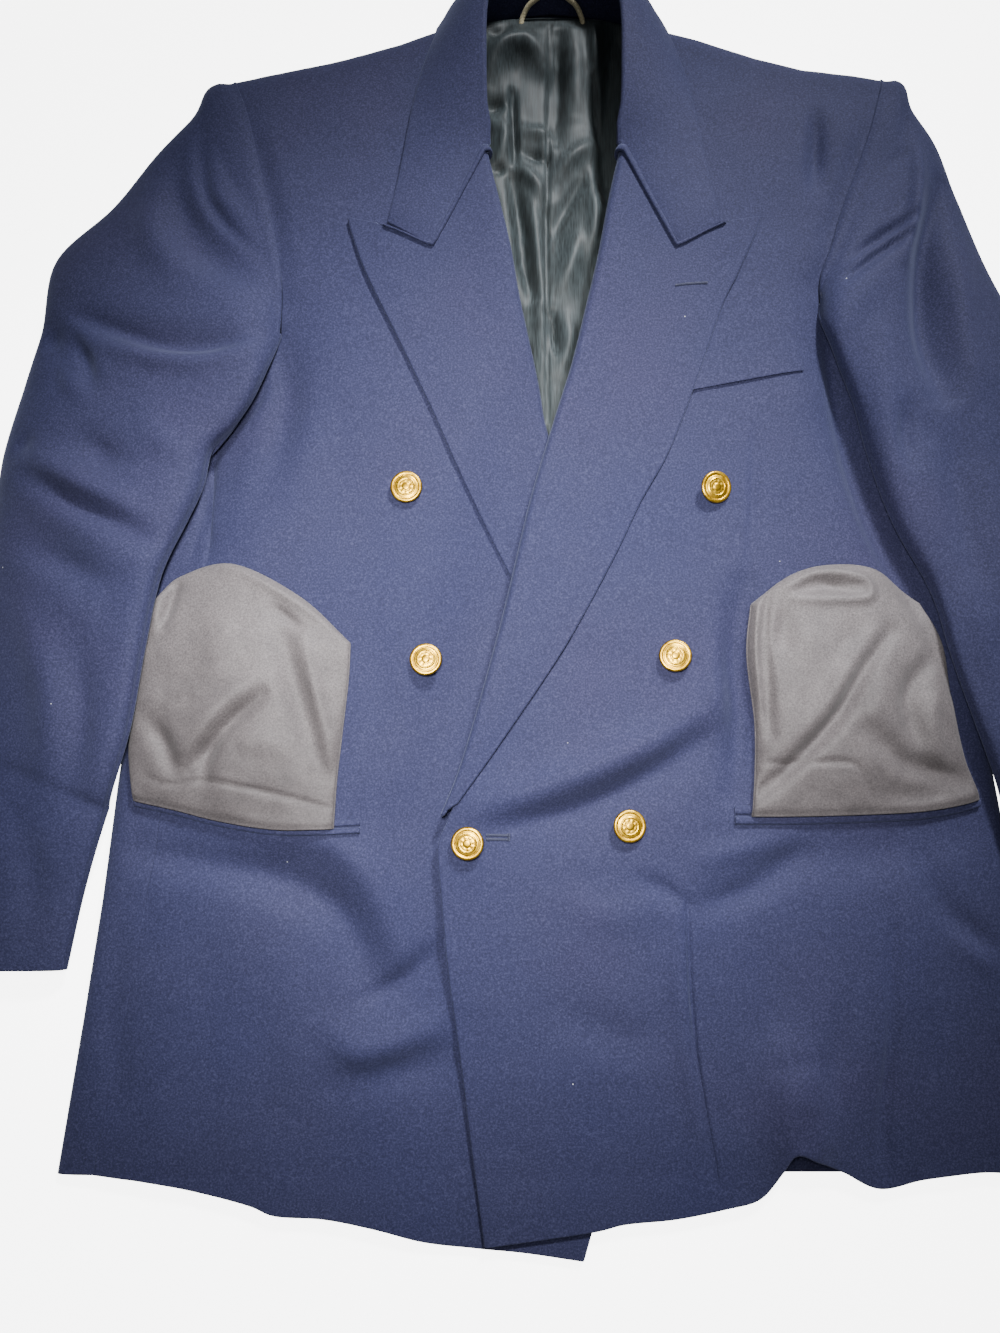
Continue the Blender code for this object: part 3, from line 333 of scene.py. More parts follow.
SLEEVE_FOLDS = {
    "right": [
        Fold([(-262, 450), (-250, 400), (-212, 362), (-190, 356)], -6.5, 10),
        Fold([(-242, 452), (-234, 425), (-217, 404)], -3, 7),
        Fold([(-330, 330), (-290, 312), (-235, 300), (-192, 308)], -4.5, 10),
        Fold([(-355, 318), (-336, 308), (-320, 270)], -5, 11),
        Fold([(-322, 232), (-284, 214)], -3, 14),
        Fold([(-360, 190), (-310, 150), (-290, 120)], -3, 14),
        Fold([(-262, 175), (-284, 100), (-300, 20)], -3, 16),
    ],
    "left": [
        Fold([(206, 352), (236, 395), (252, 412)], -4, 10),
        Fold([(262, 358), (262, 305), (268, 268)], -8, 14),
        Fold([(246, 252), (250, 222)], -3, 10),
        Fold([(292, 100), (305, 40), (322, -30)], -3, 14),
    ],
}
LINING_FOLDS = [
    Fold([(-36, 545), (-30, 500), (-32, 440), (-18, 330)], 3.5, 13),
    Fold([(22, 470), (26, 420), (14, 350), (6, 280)], 4.0, 12),
]

# Pocket openings, from the front's middle outwards, and the outlines of the turned-out bags
POCKET_LINE = {
    "right": [(-124, -21), (-150, -22), (-179, -22), (-213, -17), (-242, -10), (-270, -4)],
    "left": [(117, -14), (150, -14), (192, -13), (234, -11), (261, -7), (276, -3)],
}
BAG_INNER = {
    "right": [(-140, -22.5), (-139, 4), (-136, 34), (-132, 72), (-131, 96)],
    "left": [(127, -14.5), (130, 13), (131, 47), (127, 90), (130, 122)],
}
BAG_OUTER = {
    "right": [(-270, -4.5), (-275, 30), (-271, 66), (-268, 99), (-260, 127)],
    "left": [(275, -3.8), (266, 24), (260, 58), (255, 96), (242, 124)],
}
BAG_TOP = {
    "right": [(-131, 96), (-164, 126), (-209, 148), (-244, 141), (-260, 127)],
    "left": [(130, 122), (155, 140), (181, 147), (214, 144), (242, 124)],
}
JET_DEPTH = {"right": 4.5, "left": 6.0}

BREAST_WELT = [(93, 267), (170, 282), (165, 306), (96, 291)]

Button = namedtuple("Button", "name x y raised pitch roll turn")
# raised: how far above its solid's base a tilted button sits. pitch, roll and turn are in degrees.
BUTTONS = [
    Button("top_right", -95.6, 199.8, 0.5, 2, -2, 10),
    Button("top_left", 107.1, 199.2, 2.6, 3, 15, -20),
    Button("middle_right", -82.1, 85.9, 0.5, -3, 2, 35),
    Button("middle_left", 79.2, 87.9, 0.8, -2, -4, 5),
    Button("bottom_right", -54.6, -31.7, 0.6, 3, -4, -30),
    Button("bottom_left", 48.7, -20.8, 0.5, 2, 3, 22),
]
HANG_LOOP = [(-19, 556, 12.7), (-17, 562.5, 15.5), (-11, 568.5, 20.7), (4, 573, 25.3), (19, 568.5, 20.7),
             (25, 562.5, 15.5), (27, 556, 12.7)]
HANG_LOOP_RADIUS = 1.7
HANG_LOOP_SIDES = 24
# Twist in radians for each millimetre, plies, and how far a ply stands out as a share of the radius
HANG_LOOP_TWIST = 0.9
HANG_LOOP_PLIES = 3
HANG_LOOP_BUMP = 0.10

# Finer creases, read from the photograph, that only the cloth's surface has
FRONT_CREASES = {
    "right": [
        Fold([(-180, 302), (-176, 266), (-182, 232), (-192, 199)], -2.9, 13),
        Fold([(-183, 312), (-194, 292), (-198, 266), (-226, 235), (-231, 194), (-238, 156)], -3.8, 3.5),
        Fold([(-230, 194), (-228, 173), (-226, 153)], -2.3, 3.5),
        Fold([(-196, 291), (-191, 264), (-206, 236)], 2.0, 7),
        Fold([(-266, -38), (-210, -48), (-169, -59), (-140, -77), (-127, -99), (-118, -122)], -7.5, 12),
        Fold([(-195, -27), (-150, -29), (-120, -50), (-103, -83), (-95, -106)], 5.5, 12),
        Fold([(-119, -131), (-99, -121), (-72, -98)], -5.0, 7),
        Fold([(-142, -147), (-123, -162), (-98, -157), (-68, -144)], 5.2, 11),
        Fold([(-135, -180), (-98, -174), (-59, -167)], -2.6, 12),
        Fold([(-281, -69), (-283, -131), (-276, -193)], -2.9, 10),
        Fold([(-175, -87), (-164, -131), (-166, -179)], 2.3, 16),
        Fold([(-228, -81), (-219, -137), (-226, -198)], -2.2, 18),
        Fold([(-53, -130), (-21, -136), (4, -130)], -2.0, 12),
        Fold([(-113, 100), (-109, 47), (-116, 2)], -2.3, 10),
        Fold([(-170, 312), (-148, 248), (-133, 179)], -1.3, 16),
    ],
    "left": [
        Fold([(187, 469), (186, 446), (184, 420)], -4.9, 5.5),
        Fold([(-37, -22), (-5, -15), (24, -6), (54, 8), (74, 20), (92, 33)], -6.0, 8.5),
        Fold([(-47, -8), (-19, -2), (21, 12), (66, 33), (104, 59)], 5.0, 11),
        Fold([(125, 133), (119, 93), (122, 50), (118, 2)], -9.4, 10),
        Fold([(107, 99), (104, 66), (109, 34)], 2.9, 9),
        Fold([(94, -71), (127, -61), (159, -40)], -6.1, 9),
        Fold([(56, -55), (70, -61), (84, -71)], -3.8, 6),
        Fold([(94, -42), (120, -36), (152, -29)], 3.8, 8),
        Fold([(86, -68), (87, -117), (91, -168), (97, -209), (103, -244)], -3.2, 1.5),
        Fold([(78, -74), (80, -118), (84, -168), (91, -209)], 3.0, 6),
        Fold([(216, -87), (214, -152), (208, -203), (209, -234)], -3.8, 3.2),
        Fold([(209, -87), (208, -152), (202, -203)], 2.6, 6),
        Fold([(186, -131), (177, -172), (171, -204)], -2.3, 6),
        Fold([(240, -44), (253, -78), (285, -101)], -5.8, 9),
        Fold([(245, -69), (264, -94), (287, -112)], 3.5, 8),
        Fold([(133, -87), (138, -130), (131, -179)], -2.3, 15),
        Fold([(159, -192), (158, -207), (154, -222)], -4.3, 9),
        Fold([(4, -67), (36, -77), (68, -71)], 2.3, 12),
        Fold([(4, -136), (42, -154), (73, -148)], -2.3, 14),
        Fold([(5, 99), (31, 86), (57, 89)], -1.4, 12),
        Fold([(136, 241), (133, 193), (129, 139)], -2.0, 2.6),
        Fold([(190, 337), (193, 265), (208, 188), (233, 126), (259, 67)], -4.3, 6),
    ],
}
LAPEL_CREASES = {
    "right": [Fold([(-62, 300), (-50, 340), (-40, 372)], 0.6, 14)],
    "left": [Fold([(64, 300), (52, 340), (44, 372)], 0.6, 14)],
}
SLEEVE_CREASES = {
    "right": [
        Fold([(-242, 466), (-241, 435), (-236, 409), (-222, 387), (-201, 368), (-183, 355)], -9.1, 4.8),
        Fold([(-232, 452), (-220, 424), (-204, 403)], -6.8, 4.2),
        Fold([(-231, 424), (-220, 402), (-196, 382)], 4.9, 6),
        Fold([(-259, 402), (-246, 375), (-222, 355), (-195, 343)], -9.5, 12),
        Fold([(-274, 410), (-273, 381), (-251, 352)], 4.9, 13),
        Fold([(-319, 320), (-291, 308), (-261, 297), (-234, 294), (-208, 298), (-185, 306)], -5.5, 6),
        Fold([(-294, 296), (-260, 286), (-227, 284), (-200, 291)], 4.9, 8),
        Fold([(-323, 306), (-313, 289), (-307, 272)], -5.5, 5.5),
        Fold([(-344, 314), (-339, 298)], -4.0, 8),
        Fold([(-330, 289), (-321, 272), (-313, 261)], 4.2, 7),
        Fold([(-309, 232), (-295, 221), (-278, 214)], -4.2, 9),
        Fold([(-357, 236), (-348, 227)], -3.4, 8),
        Fold([(-265, 238), (-246, 224), (-232, 231)], 3.4, 10),
        Fold([(-345, 207), (-311, 187), (-276, 170), (-249, 157)], -7.2, 8),
        Fold([(-339, 219), (-300, 197), (-264, 183)], 4.6, 9),
        Fold([(-351, 166), (-317, 146), (-277, 132)], -4.2, 11),
        Fold([(-338, 113), (-321, 60), (-323, 8)], 4.2, 12),
        Fold([(-305, 100), (-300, 47), (-305, -4)], -4.6, 10),
        Fold([(-340, -17), (-333, -56), (-337, -93)], -3.4, 10),
    ],
    "left": [
        Fold([(248, 390), (227, 376), (204, 360)], -8.7, 3.6),
        Fold([(243, 376), (222, 362), (199, 343)], -7.6, 3.4),
        Fold([(245, 383), (225, 369), (203, 352)], 4.2, 3.4),
        Fold([(249, 441), (239, 435), (228, 428)], -4.9, 3.6),
        Fold([(257, 478), (255, 426), (248, 386), (240, 359)], 6.8, 6),
        Fold([(231, 470), (216, 434), (205, 400), (198, 375)], 3.0, 7),
        Fold([(272, 419), (257, 375), (252, 338), (251, 299), (259, 263)], -11.4, 9),
        Fold([(283, 376), (275, 318), (279, 268)], 5.7, 12),
        Fold([(234, 252), (232, 231), (234, 217)], -6.1, 6),
        Fold([(219, 300), (219, 244), (225, 190)], 4.2, 10),
        Fold([(266, 240), (266, 178), (275, 125)], -5.7, 12),
        Fold([(249, 152), (259, 99), (272, 47)], -4.6, 9),
    ],
}
LINING_CREASES = [
    Fold([(-44, 508), (-36, 530), (-16, 538), (-1, 523)], 9.8, 8),
    Fold([(-44, 551), (-34, 549), (-28, 556)], -6.5, 5),
    Fold([(-25, 504), (-24, 474), (-23, 447)], -9.8, 2.6),
    Fold([(-43, 492), (-30, 495)], -6.5, 5),
    Fold([(-40, 478), (-30, 470), (-34, 452)], 4.9, 6),
    Fold([(-40, 443), (-30, 443)], -4.9, 4),
    Fold([(-18, 474), (-2, 470), (-1, 459)], 5.7, 6),
    Fold([(-18, 459), (-2, 452)], -4.9, 3.5),
    Fold([(-20, 446), (-10, 434), (-1, 418)], 7.3, 5),
    Fold([(-25, 435), (-20, 405), (-16, 373), (-10, 344)], -13.0, 5),
    Fold([(2, 554), (1, 482), (-1, 382), (-1, 256)], -5.7, 1.5),
    Fold([(8, 546), (7, 506), (6, 466)], -9.8, 5),
    Fold([(21, 546), (21, 514), (19, 486)], 6.5, 7),
    Fold([(34, 557), (35, 530), (36, 518)], 6.5, 4),
    Fold([(34, 515), (35, 490), (38, 463)], -8.1, 2.5),
    Fold([(49, 554), (52, 514), (47, 466), (42, 428)], -14.6, 9),
    Fold([(3, 435), (19, 452), (34, 463)], 7.3, 6),
    Fold([(4, 395), (13, 415), (26, 437)], -6.5, 5),
    Fold([(32, 435), (34, 405), (31, 374)], 8.1, 6),
    Fold([(5, 344), (17, 373), (23, 397)], 6.5, 8),
    Fold([(-11, 420), (-8, 382), (-6, 337), (-3, 292)], 8.1, 6),
    Fold([(2, 332), (4, 318), (5, 306)], -9.8, 3),
    Fold([(12, 329), (15, 311), (9, 292)], 4.9, 5),
    Fold([(-44, 561), (2, 564), (55, 559)], 4.9, 4),
]
BAG_FOLDS = {
    "right": [
        Fold([(-231, 15), (-225, 24), (-206, 45), (-186, 62)], -7.5, 5.0),
        Fold([(-238, 26), (-228, 35), (-210, 56), (-191, 70)], 4.5, 8),
        Fold([(-259, 45), (-249, 31), (-240, 12)], -5.8, 6.5),
        Fold([(-269, 60), (-260, 62), (-249, 60)], 2.2, 8),
        Fold([(-215, 31), (-221, 19), (-223, 8)], -5.0, 5.0),
        Fold([(-200, 27), (-188, 33), (-172, 29)], 2.8, 9),
        Fold([(-261, 10), (-242, 5), (-225, 8), (-192, 3), (-139, -10)], -2.0, 1.7),
        Fold([(-179, 117), (-170, 84), (-158, 44), (-147, 12)], -5.0, 8),
        Fold([(-161, 99), (-150, 59), (-142, 21)], 3.0, 5),
        Fold([(-245, 134), (-249, 122), (-253, 108)], -5.0, 3.6),
        Fold([(-253, 138), (-257, 125), (-259, 105)], 2.5, 4),
        Fold([(-180, 118), (-172, 113), (-163, 106)], -3.2, 3.2),
        Fold([(-209, 147), (-189, 138), (-164, 123), (-134, 104)], 2.5, 4.2),
        Fold([(-214, 124), (-215, 92), (-221, 66)], 2.0, 13),
    ],
    "left": [
        Fold([(216, 103), (197, 77), (182, 51), (165, 31), (143, 9), (129, 0)], -7.5, 5.2),
        Fold([(204, 101), (186, 76), (171, 53), (153, 32)], 4.5, 8),
        Fold([(139, 127), (136, 98), (138, 68), (139, 36)], -5.8, 3.4),
        Fold([(132, 124), (130, 92), (130, 44)], 3.2, 4),
        Fold([(150, 118), (148, 88)], -5.2, 7.5),
        Fold([(152, 133), (173, 143), (199, 138), (205, 131), (198, 124), (155, 125)], 3.8, 3.4),
        Fold([(161, 131), (175, 134), (191, 131)], -5.5, 4.2),
        Fold([(242, 86), (229, 68), (227, 53), (233, 25)], -6.2, 6.5),
        Fold([(249, 72), (242, 46), (248, 21)], 3.0, 6),
        Fold([(201, 39), (215, 26), (230, 17), (263, 8)], -6.2, 7.5),
        Fold([(210, 2), (233, -2), (254, 0)], -3.2, 8),
        Fold([(133, 19), (158, 19), (189, 19), (198, 6), (207, -9)], -2.1, 1.7),
        Fold([(210, 66), (204, 51), (208, 40)], 3.0, 8),
        Fold([(158, 66), (151, 46), (142, 31)], 2.0, 8),
    ],
}

BUTTONHOLES = {
    "front_upper": [(-43, -26.6), (-29, -26.9)],
    "front_lower": [(-43, -29.2), (-29, -29.5)],
    "front_bar": [(-28.2, -25.6), (-28.2, -30.4)],
    "lapel": [(84, 339.4), (92, 340.6), (106, 341.4)],
}

# Colours
NAVY_DARK = (0.005, 0.006, 0.020)
NAVY_MID = (0.0163, 0.0183, 0.053)
NAVY_LIGHT = (0.058, 0.060, 0.126)
NAVY_SLUB = (0.037, 0.036, 0.088)
LINT = (0.62, 0.64, 0.68)
SATIN_DARK = (0.013, 0.018, 0.021)
SATIN_LIGHT = (0.048, 0.064, 0.071)
SATIN_WARM = (0.044, 0.046, 0.040)
COTTON_DARK = (0.060, 0.054, 0.056)
COTTON_LIGHT = (0.155, 0.142, 0.146)
GILT_DARK = (0.38, 0.19, 0.012)
GILT = (0.72, 0.43, 0.030)
GILT_LIGHT = (0.92, 0.64, 0.080)
CORD_DARK = (0.30, 0.25, 0.13)
CORD_LIGHT = (0.62, 0.55, 0.36)
THREAD_NAVY = (0.020, 0.024, 0.060)

# Distance between the threads of each weave
WOOL_PITCH = 0.62
SATIN_PITCH = 0.22
TWILL_PITCH = 0.42

# Camera and light, in metres
CAMERA_TILT = 7.5
CAMERA_PLACE = (-0.033, -0.153, 0.650)
LENS = 26.0
SENSOR_HEIGHT = 36.0
FLOOR_Z = -0.0003
FLOOR_HALF = 4.0
FLOOR_GLOW = 6.0
SKY = 0.20
Lamp = namedtuple("Lamp", "name place target size cone power colour")
# size: radius of the soft lamp. cone: full angle in degrees over which its light fades out.
LAMPS = [
    Lamp("centre", (-0.070, -0.060, 0.68), (-0.050, -0.055, 0.0), 0.06, 68, 46.0, (1.0, 0.985, 0.965)),
    Lamp("rake", (0.55, 1.35, 1.25), (-0.06, -0.14, 0.0), 0.15, 33, 350.0, (0.97, 0.98, 1.0)),
]

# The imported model's place of the middle of a button gives the way from the plan to the frame
low_corner, high_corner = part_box("button_top_left")
SHIFT = np.array([
    (low_corner.x + high_corner.x) / 2 - BUTTONS[1].x * MM,
    (low_corner.y + high_corner.y) / 2 - BUTTONS[1].y * MM,
    0.0,
])


# Curves and grids
def dense(points, steps=16):
    """A Catmull-Rom curve through the points."""
    p = np.array(points, float)
    ends = np.vstack([2 * p[0] - p[1], p, 2 * p[-1] - p[-2]])
    t = np.linspace(0, 1, steps, endpoint=False)[:, None]
    pieces = []
    for a, b, c, d in zip(ends, ends[1:], ends[2:], ends[3:]):
        curve = 2 * b + (c - a) * t + (2 * a - 5 * b + 4 * c - d) * t**2 + (3 * b - a - 3 * c + d) * t**3
        pieces.append(0.5 * curve)
    return np.vstack([*pieces, p[-1:]])


def fractions_of(path):
    steps = np.linalg.norm(np.diff(path, axis=0), axis=1)
    return np.concatenate([[0], np.cumsum(steps)]) / steps.sum()


def sample(path, fractions):
    """Points of the path at these fractions of its length."""
    at = fractions_of(path)
    return np.stack([np.interp(fractions, at, path[:, k]) for k in range(path.shape[1])], axis=1)


def joined(*paths):
    return np.vstack([paths[0]] + [p[1:] for p in paths[1:]])


def eased(count):
    """Fractions from 0 to 1 that crowd towards both ends, for cloth that rolls over at its edges."""
    return (1 - np.cos(np.pi * np.arange(count + 1) / count)) / 2


def coons(left, right, bottom, top, across, along):
    """A grid between four edges; rows run along, columns across. Corners are shared."""
    s = across[None, :, None]
    t = along[:, None, None]
    ruled = (1 - s) * left[:, None] + s * right[:, None] + (1 - t) * bottom[None] + t * top[None]
    corners = ((1 - s) * (1 - t) * bottom[0] + s * (1 - t) * bottom[-1]
               + (1 - s) * t * top[0] + s * t * top[-1])
    return ruled - corners


def distance_to(x, y, path):
    """Plan distance from each point to the path, and the fraction of its length at the nearest point."""
    best = np.full(np.shape(x), 1e9)
    where = np.zeros(np.shape(x))
    at = fractions_of(path)
    for k, (a, b) in enumerate(zip(path, path[1:])):
        ab = b - a
        t = np.clip(((x - a[0]) * ab[0] + (y - a[1]) * ab[1]) / (ab @ ab), 0, 1)
        d = np.hypot(x - a[0] - t * ab[0], y - a[1] - t * ab[1])
        where = np.where(d < best, at[k] + t * (at[k + 1] - at[k]), where)
        best = np.minimum(best, d)
    return best, where


def folds(x, y, rows):
    """Height of these ridges and troughs together; each one fades towards both ends of its path."""
    total = np.zeros(np.shape(x))
    for row in rows:
        d, at = distance_to(x, y, dense(row.path, 4))
        taper = np.sin(np.pi * np.clip(0.12 + 0.76 * at, 0, 1))
        total += row.height * taper * np.exp(-((d / row.width) ** 2))
    return total


def column(table, name, y):
    """One column of the table, between its rows."""
    return np.interp(y, [row.y for row in table], [getattr(row, name) for row in table])


def round_edge(d, radius):
    """0 at the edge and 1 from the radius inwards, leaving the edge upright like a quarter circle."""
    q = 1 - np.clip(d / radius, 0, 1)
    return np.sqrt(1 - q * q)


def smooth(q):
    q = np.clip(q, 0, 1)
    return q * q * (3 - 2 * q)


# Heights of the body's two sides
def side_distance(x, y):
    return np.minimum(x - column(BODY, "right", y), column(BODY, "left", y) - x)


def shoulder_distance(x, y):
    line = np.array(SHOULDER_LINE, float)
    return np.interp(x, line[:, 0], line[:, 1]) - y


def body_top(x, y, fold_rows=()):
    """Height of the front's outer face."""
    crown = column(BODY, "crown", y)
    edge = column(BODY, "edge", y)
    d = side_distance(x, y)
    side = 0.6 * round_edge(d, FRONT_ROUND) + 0.4 * smooth(d / 80)
    side += (1 - side) * smooth((y - UNDERARM_Y) / 60)
    s = shoulder_distance(x, y)
    shoulder = 0.8 * round_edge(s, FRONT_ROUND) + 0.2 * smooth(s / 60)
    return edge + (crown - edge) * side * shoulder + folds(x, y, fold_rows) * smooth(d / 30) * smooth(s / 30)


def neck_rise(x, y):
    """The back is lifted at the neck by the collar leaf below it."""
    near_neck = 1 - smooth((abs(x - NECK_CENTRE_X) - NECK_LIFT_HALF_WIDTH) / NECK_LIFT_FADE)
    return NECK_LIFT * smooth((y - NECK_LIFT_FROM) / NECK_LIFT_WAY) * near_neck


def body_bottom(x, y):
    """Height of the back's outer face: flat on the surface, rounded up at the side and shoulder edges."""
    edge = column(BODY, "edge", y)
    side = round_edge(side_distance(x, y), BACK_ROUND) + (y > UNDERARM_Y + 60)
    shoulder = round_edge(shoulder_distance(x, y), BACK_ROUND)
    at_neck = 1 - smooth((abs(x - NECK_CENTRE_X) - 52) / 14)
    lifted = edge * (1 - np.minimum(side, 1) * np.maximum(shoulder, at_neck))
    return np.maximum(lifted, neck_rise(x, y))


# Walls of cloth
def unit_normals(grid, closed=False):
    if closed:
        du = np.roll(grid, -1, axis=1) - np.roll(grid, 1, axis=1)
    else:
        du = np.gradient(grid, axis=1)
    n = np.cross(du, np.gradient(grid, axis=0))
    return n / np.maximum(np.linalg.norm(n, axis=2, keepdims=True), 1e-9)


def edge_distances(grid, closed=False):
    """For each point, the way along the cloth to the first and last row and to the first and last column."""
    down = np.linalg.norm(np.diff(grid, axis=0), axis=2)
    from_first = np.concatenate([np.zeros((1, grid.shape[1])), np.cumsum(down, axis=0)])
    over = np.linalg.norm(np.diff(grid, axis=1), axis=2)
    from_left = np.concatenate([np.zeros((len(grid), 1)), np.cumsum(over, axis=1)], axis=1)
    if closed:
        from_left = np.full_like(from_left, 1e3)
        return from_first, from_first[-1] - from_first, from_left, from_left
    return from_first, from_first[-1] - from_first, from_left, from_left[:, -1:] - from_left


def mesh_object(name, vertices, quads, materials, which=None):
    mesh = bpy.data.meshes.new(name)
    mesh.vertices.add(len(vertices))
    mesh.vertices.foreach_set("co", ((vertices * MM) + SHIFT).astype(np.float32).ravel())
    mesh.loops.add(len(quads) * 4)
    mesh.loops.foreach_set("vertex_index", quads.astype(np.int32).ravel())
    mesh.polygons.add(len(quads))
    mesh.polygons.foreach_set("loop_start", np.arange(0, len(quads) * 4, 4, dtype=np.int32))
    if which is not None:
        mesh.polygons.foreach_set("material_index", which.astype(np.int32))
    for material in materials:
        mesh.materials.append(material)
    mesh.update(calc_edges=True)
    mesh.shade_smooth()
    obj = bpy.data.objects.new(name, mesh)
    bpy.context.scene.collection.objects.link(obj)
    return obj


def rim(points, normals, loop, thickness):
    """Three rings that round a cloth edge over from its outer to its inner face."""
    p, n = points[loop], normals[loop]
    tangent = np.roll(p, -1, axis=0) - np.roll(p, 1, axis=0)
    away = np.cross(tangent, n)
    away /= np.maximum(np.linalg.norm(away, axis=1, keepdims=True), 1e-9)
    centre = p - thickness / 2 * n
    rings = []
    for turn in (45, 90, 135):
        a = math.radians(turn)
        ring = centre + thickness / 2 * (math.cos(a) * n + math.sin(a) * away)
        rings.append(np.maximum(ring, (-np.inf, -np.inf, 0)))
    return rings


def cloth(name, outer, thickness, materials, closed=False, first_row=None, last_row=None,
          turn_up=(0, 0, 0, 0)):
    """A wall of cloth with rounded edges. du x dv points out; the rows of a tube run round it.

    materials: the face cloth and the lining inside. turn_up: how far the face cloth is turned in at the
    first row, the last row, the first column and the last column.
    """
    normals = unit_normals(outer, closed)
    if first_row is not None:
        normals[0] = first_row
    if last_row is not None:
        normals[-1] = last_row
    inner = outer - thickness * normals
    inner[..., 2] = np.maximum(inner[..., 2], 0)
    rows, columns = outer.shape[:2]
    index = np.arange(rows * columns).reshape(rows, columns)
    loops = [index[0], index[-1, ::-1]]
    if not closed:
        loops = [np.concatenate([index[0], index[1:, -1], index[-1, -2::-1], index[-2:0:-1, 0]])]
    wrapped = np.concatenate([index, index[:, :1]], axis=1) if closed else index
    a, b, c, d = wrapped[:-1, :-1], wrapped[:-1, 1:], wrapped[1:, 1:], wrapped[1:, :-1]
    count = rows * columns
    faces = [np.stack([a, b, c, d], axis=-1).reshape(-1, 4)]
    lining = [np.zeros(a.size)]
    faces.append(np.stack([a, d, c, b], axis=-1).reshape(-1, 4) + count)
    near = [distance < margin for distance, margin in zip(edge_distances(outer, closed), turn_up)]
    turned_in = np.any(near, axis=0)
    hidden = np.full(a.shape, len(materials) > 1)
    lining.append((hidden & ~turned_in[:a.shape[0], :a.shape[1]]).ravel())
    flat_outer, flat_normals = outer.reshape(-1, 3), normals.reshape(-1, 3)
    vertices = [flat_outer, inner.reshape(-1, 3)]
    total = 2 * count
    for loop in loops:
        before = loop
        for ring in rim(flat_outer, flat_normals, loop, thickness):
            now = np.arange(total, total + len(loop))
            vertices.append(ring)
            faces.append(np.stack([before, now, np.roll(now, -1), np.roll(before, -1)], axis=1))
            total += len(loop)
            before = now
        last = loop + count
        faces.append(np.stack([before, last, np.roll(last, -1), np.roll(before, -1)], axis=1))
    faces = np.concatenate(faces)
    which = np.zeros(len(faces))
    which[:len(lining[0]) + len(lining[1])] = np.concatenate(lining)
    return mesh_object(name, np.concatenate(vertices), faces, materials, which)


def placed(piece, slot, *nodes):
    """The piece rides on the garment and stands for the CAD nodes; the slot is not used."""
    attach(piece, "root")
    if nodes:
        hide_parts(*nodes)
    return piece


def laid(piece):
    return piece


def on_plan(plan, heights):
    return np.concatenate([plan, heights[..., None]], axis=2)


def turned(grid):
    """The same grid facing the other way."""
    return grid[:, ::-1]


def shifted(path, dx, dy=0.0):
    return path + np.array([dx, dy])


def sign_of(side):
    return -1.0 if side == "right" else 1.0


def steps_of(length, step=STEP):
    """Even shares of a length, with a few close to both ends where the cloth rolls over."""
    even = np.linspace(0, 1, max(4, round(length / step)) + 1)
    close = np.array(EDGE_STEPS) / length
    inside = even[(even > 1.3 * close[-1]) & (even < 1 - 1.3 * close[-1])]
    return np.concatenate([[0], close, inside, 1 - close[::-1], [1]])


def length_of(path):
    return float(np.linalg.norm(np.diff(path, axis=0), axis=1).sum())


# Small unevenness of real cloth
def ripple(x, y, size, seed):
    """Smooth random heights from -1 to 1 whose bumps are about this many millimetres apart."""
    table = np.random.default_rng(seed).uniform(-1, 1, (64, 64))
    u, v = x / size + 32.3, y / size + 31.7
    i, j = np.floor(u).astype(int), np.floor(v).astype(int)
    fu, fv = smooth(u - i), smooth(v - j)
    i0, j0, i1, j1 = i % 64, j % 64, (i + 1) % 64, (j + 1) % 64
    low = table[j0, i0] * (1 - fu) + table[j0, i1] * fu
    high = table[j1, i0] * (1 - fu) + table[j1, i1] * fu
    return low * (1 - fv) + high * fv


def lie(x, y, seed, amount=1.0):
    """Gentle waves of cloth that has been worn and then laid down."""
    broad = 0.75 * ripple(x, y, 62, seed) + 0.38 * ripple(x + 0.4 * y, y - 0.4 * x, 27, seed + 1)
    return amount * (broad + 0.16 * ripple(x, y, 9, seed + 2))


# Front panels
def front_top(side, x, y):
    top = body_top(x, y, FRONT_FOLDS[side])
    return top - overlap_dip(x, y) if side == "right" else top


def overlap_dip(x, y):
    """How far the right front and its lapel pass below the left front."""
    over = dense(FRONT_EDGE["left"][:-1] + ROLL_LINE["left"])
    order = np.argsort(over[:, 1])
    edge_x = np.interp(y, over[order, 1], over[order, 0])
    inside = smooth((x - edge_x + 65) / 60)
    return column(BODY, "dip", y) * inside * (1 - smooth((y - 255) / 140))


def front_plan(side):
    """Plan grid of a front: columns from the side seam to the front edge, rows from hem to shoulder."""
    out = sign_of(side)
    outer = joined(dense(SIDE_SEAM[side]), dense(ARMHOLE_LOW[side]), dense(ARMHOLE_FRONT[side]))
    along = steps_of(length_of(outer))
    outer = sample(shifted(outer, -out * SEAM_GAP / 2), along)
    roll = dense(ROLL_LINE[side])
    roll[:, 0] += out * ROLL_TO_FRONT
    inner = sample(np.vstack([dense(FRONT_EDGE[side])[:-1], roll, dense(NECK_FRONT[side])[1:]]), along)
    across = 1 - (1 - steps_of(FRONT_WIDTH)) ** 0.9
    if side == "left":
        around = across[(across < CREASE_SPAN[0]) | (across > CREASE_SPAN[1])]
        across = np.union1d(around, np.linspace(*CREASE_SPAN, CREASE_COLUMNS))
    bottom = sample(dense(HEM[side]), across)
    shoulder_x = outer[-1, 0] + across * (inner[-1, 0] - outer[-1, 0])
    line = np.array(SHOULDER_LINE, float)
    top = np.stack([shoulder_x, np.interp(shoulder_x, line[:, 0], line[:, 1])], axis=1)
    outer[-1], inner[-1] = top[0], top[-1]
    outer[0], inner[0] = bottom[0], bottom[-1]
    return coons(outer, inner, bottom, top, across, along)


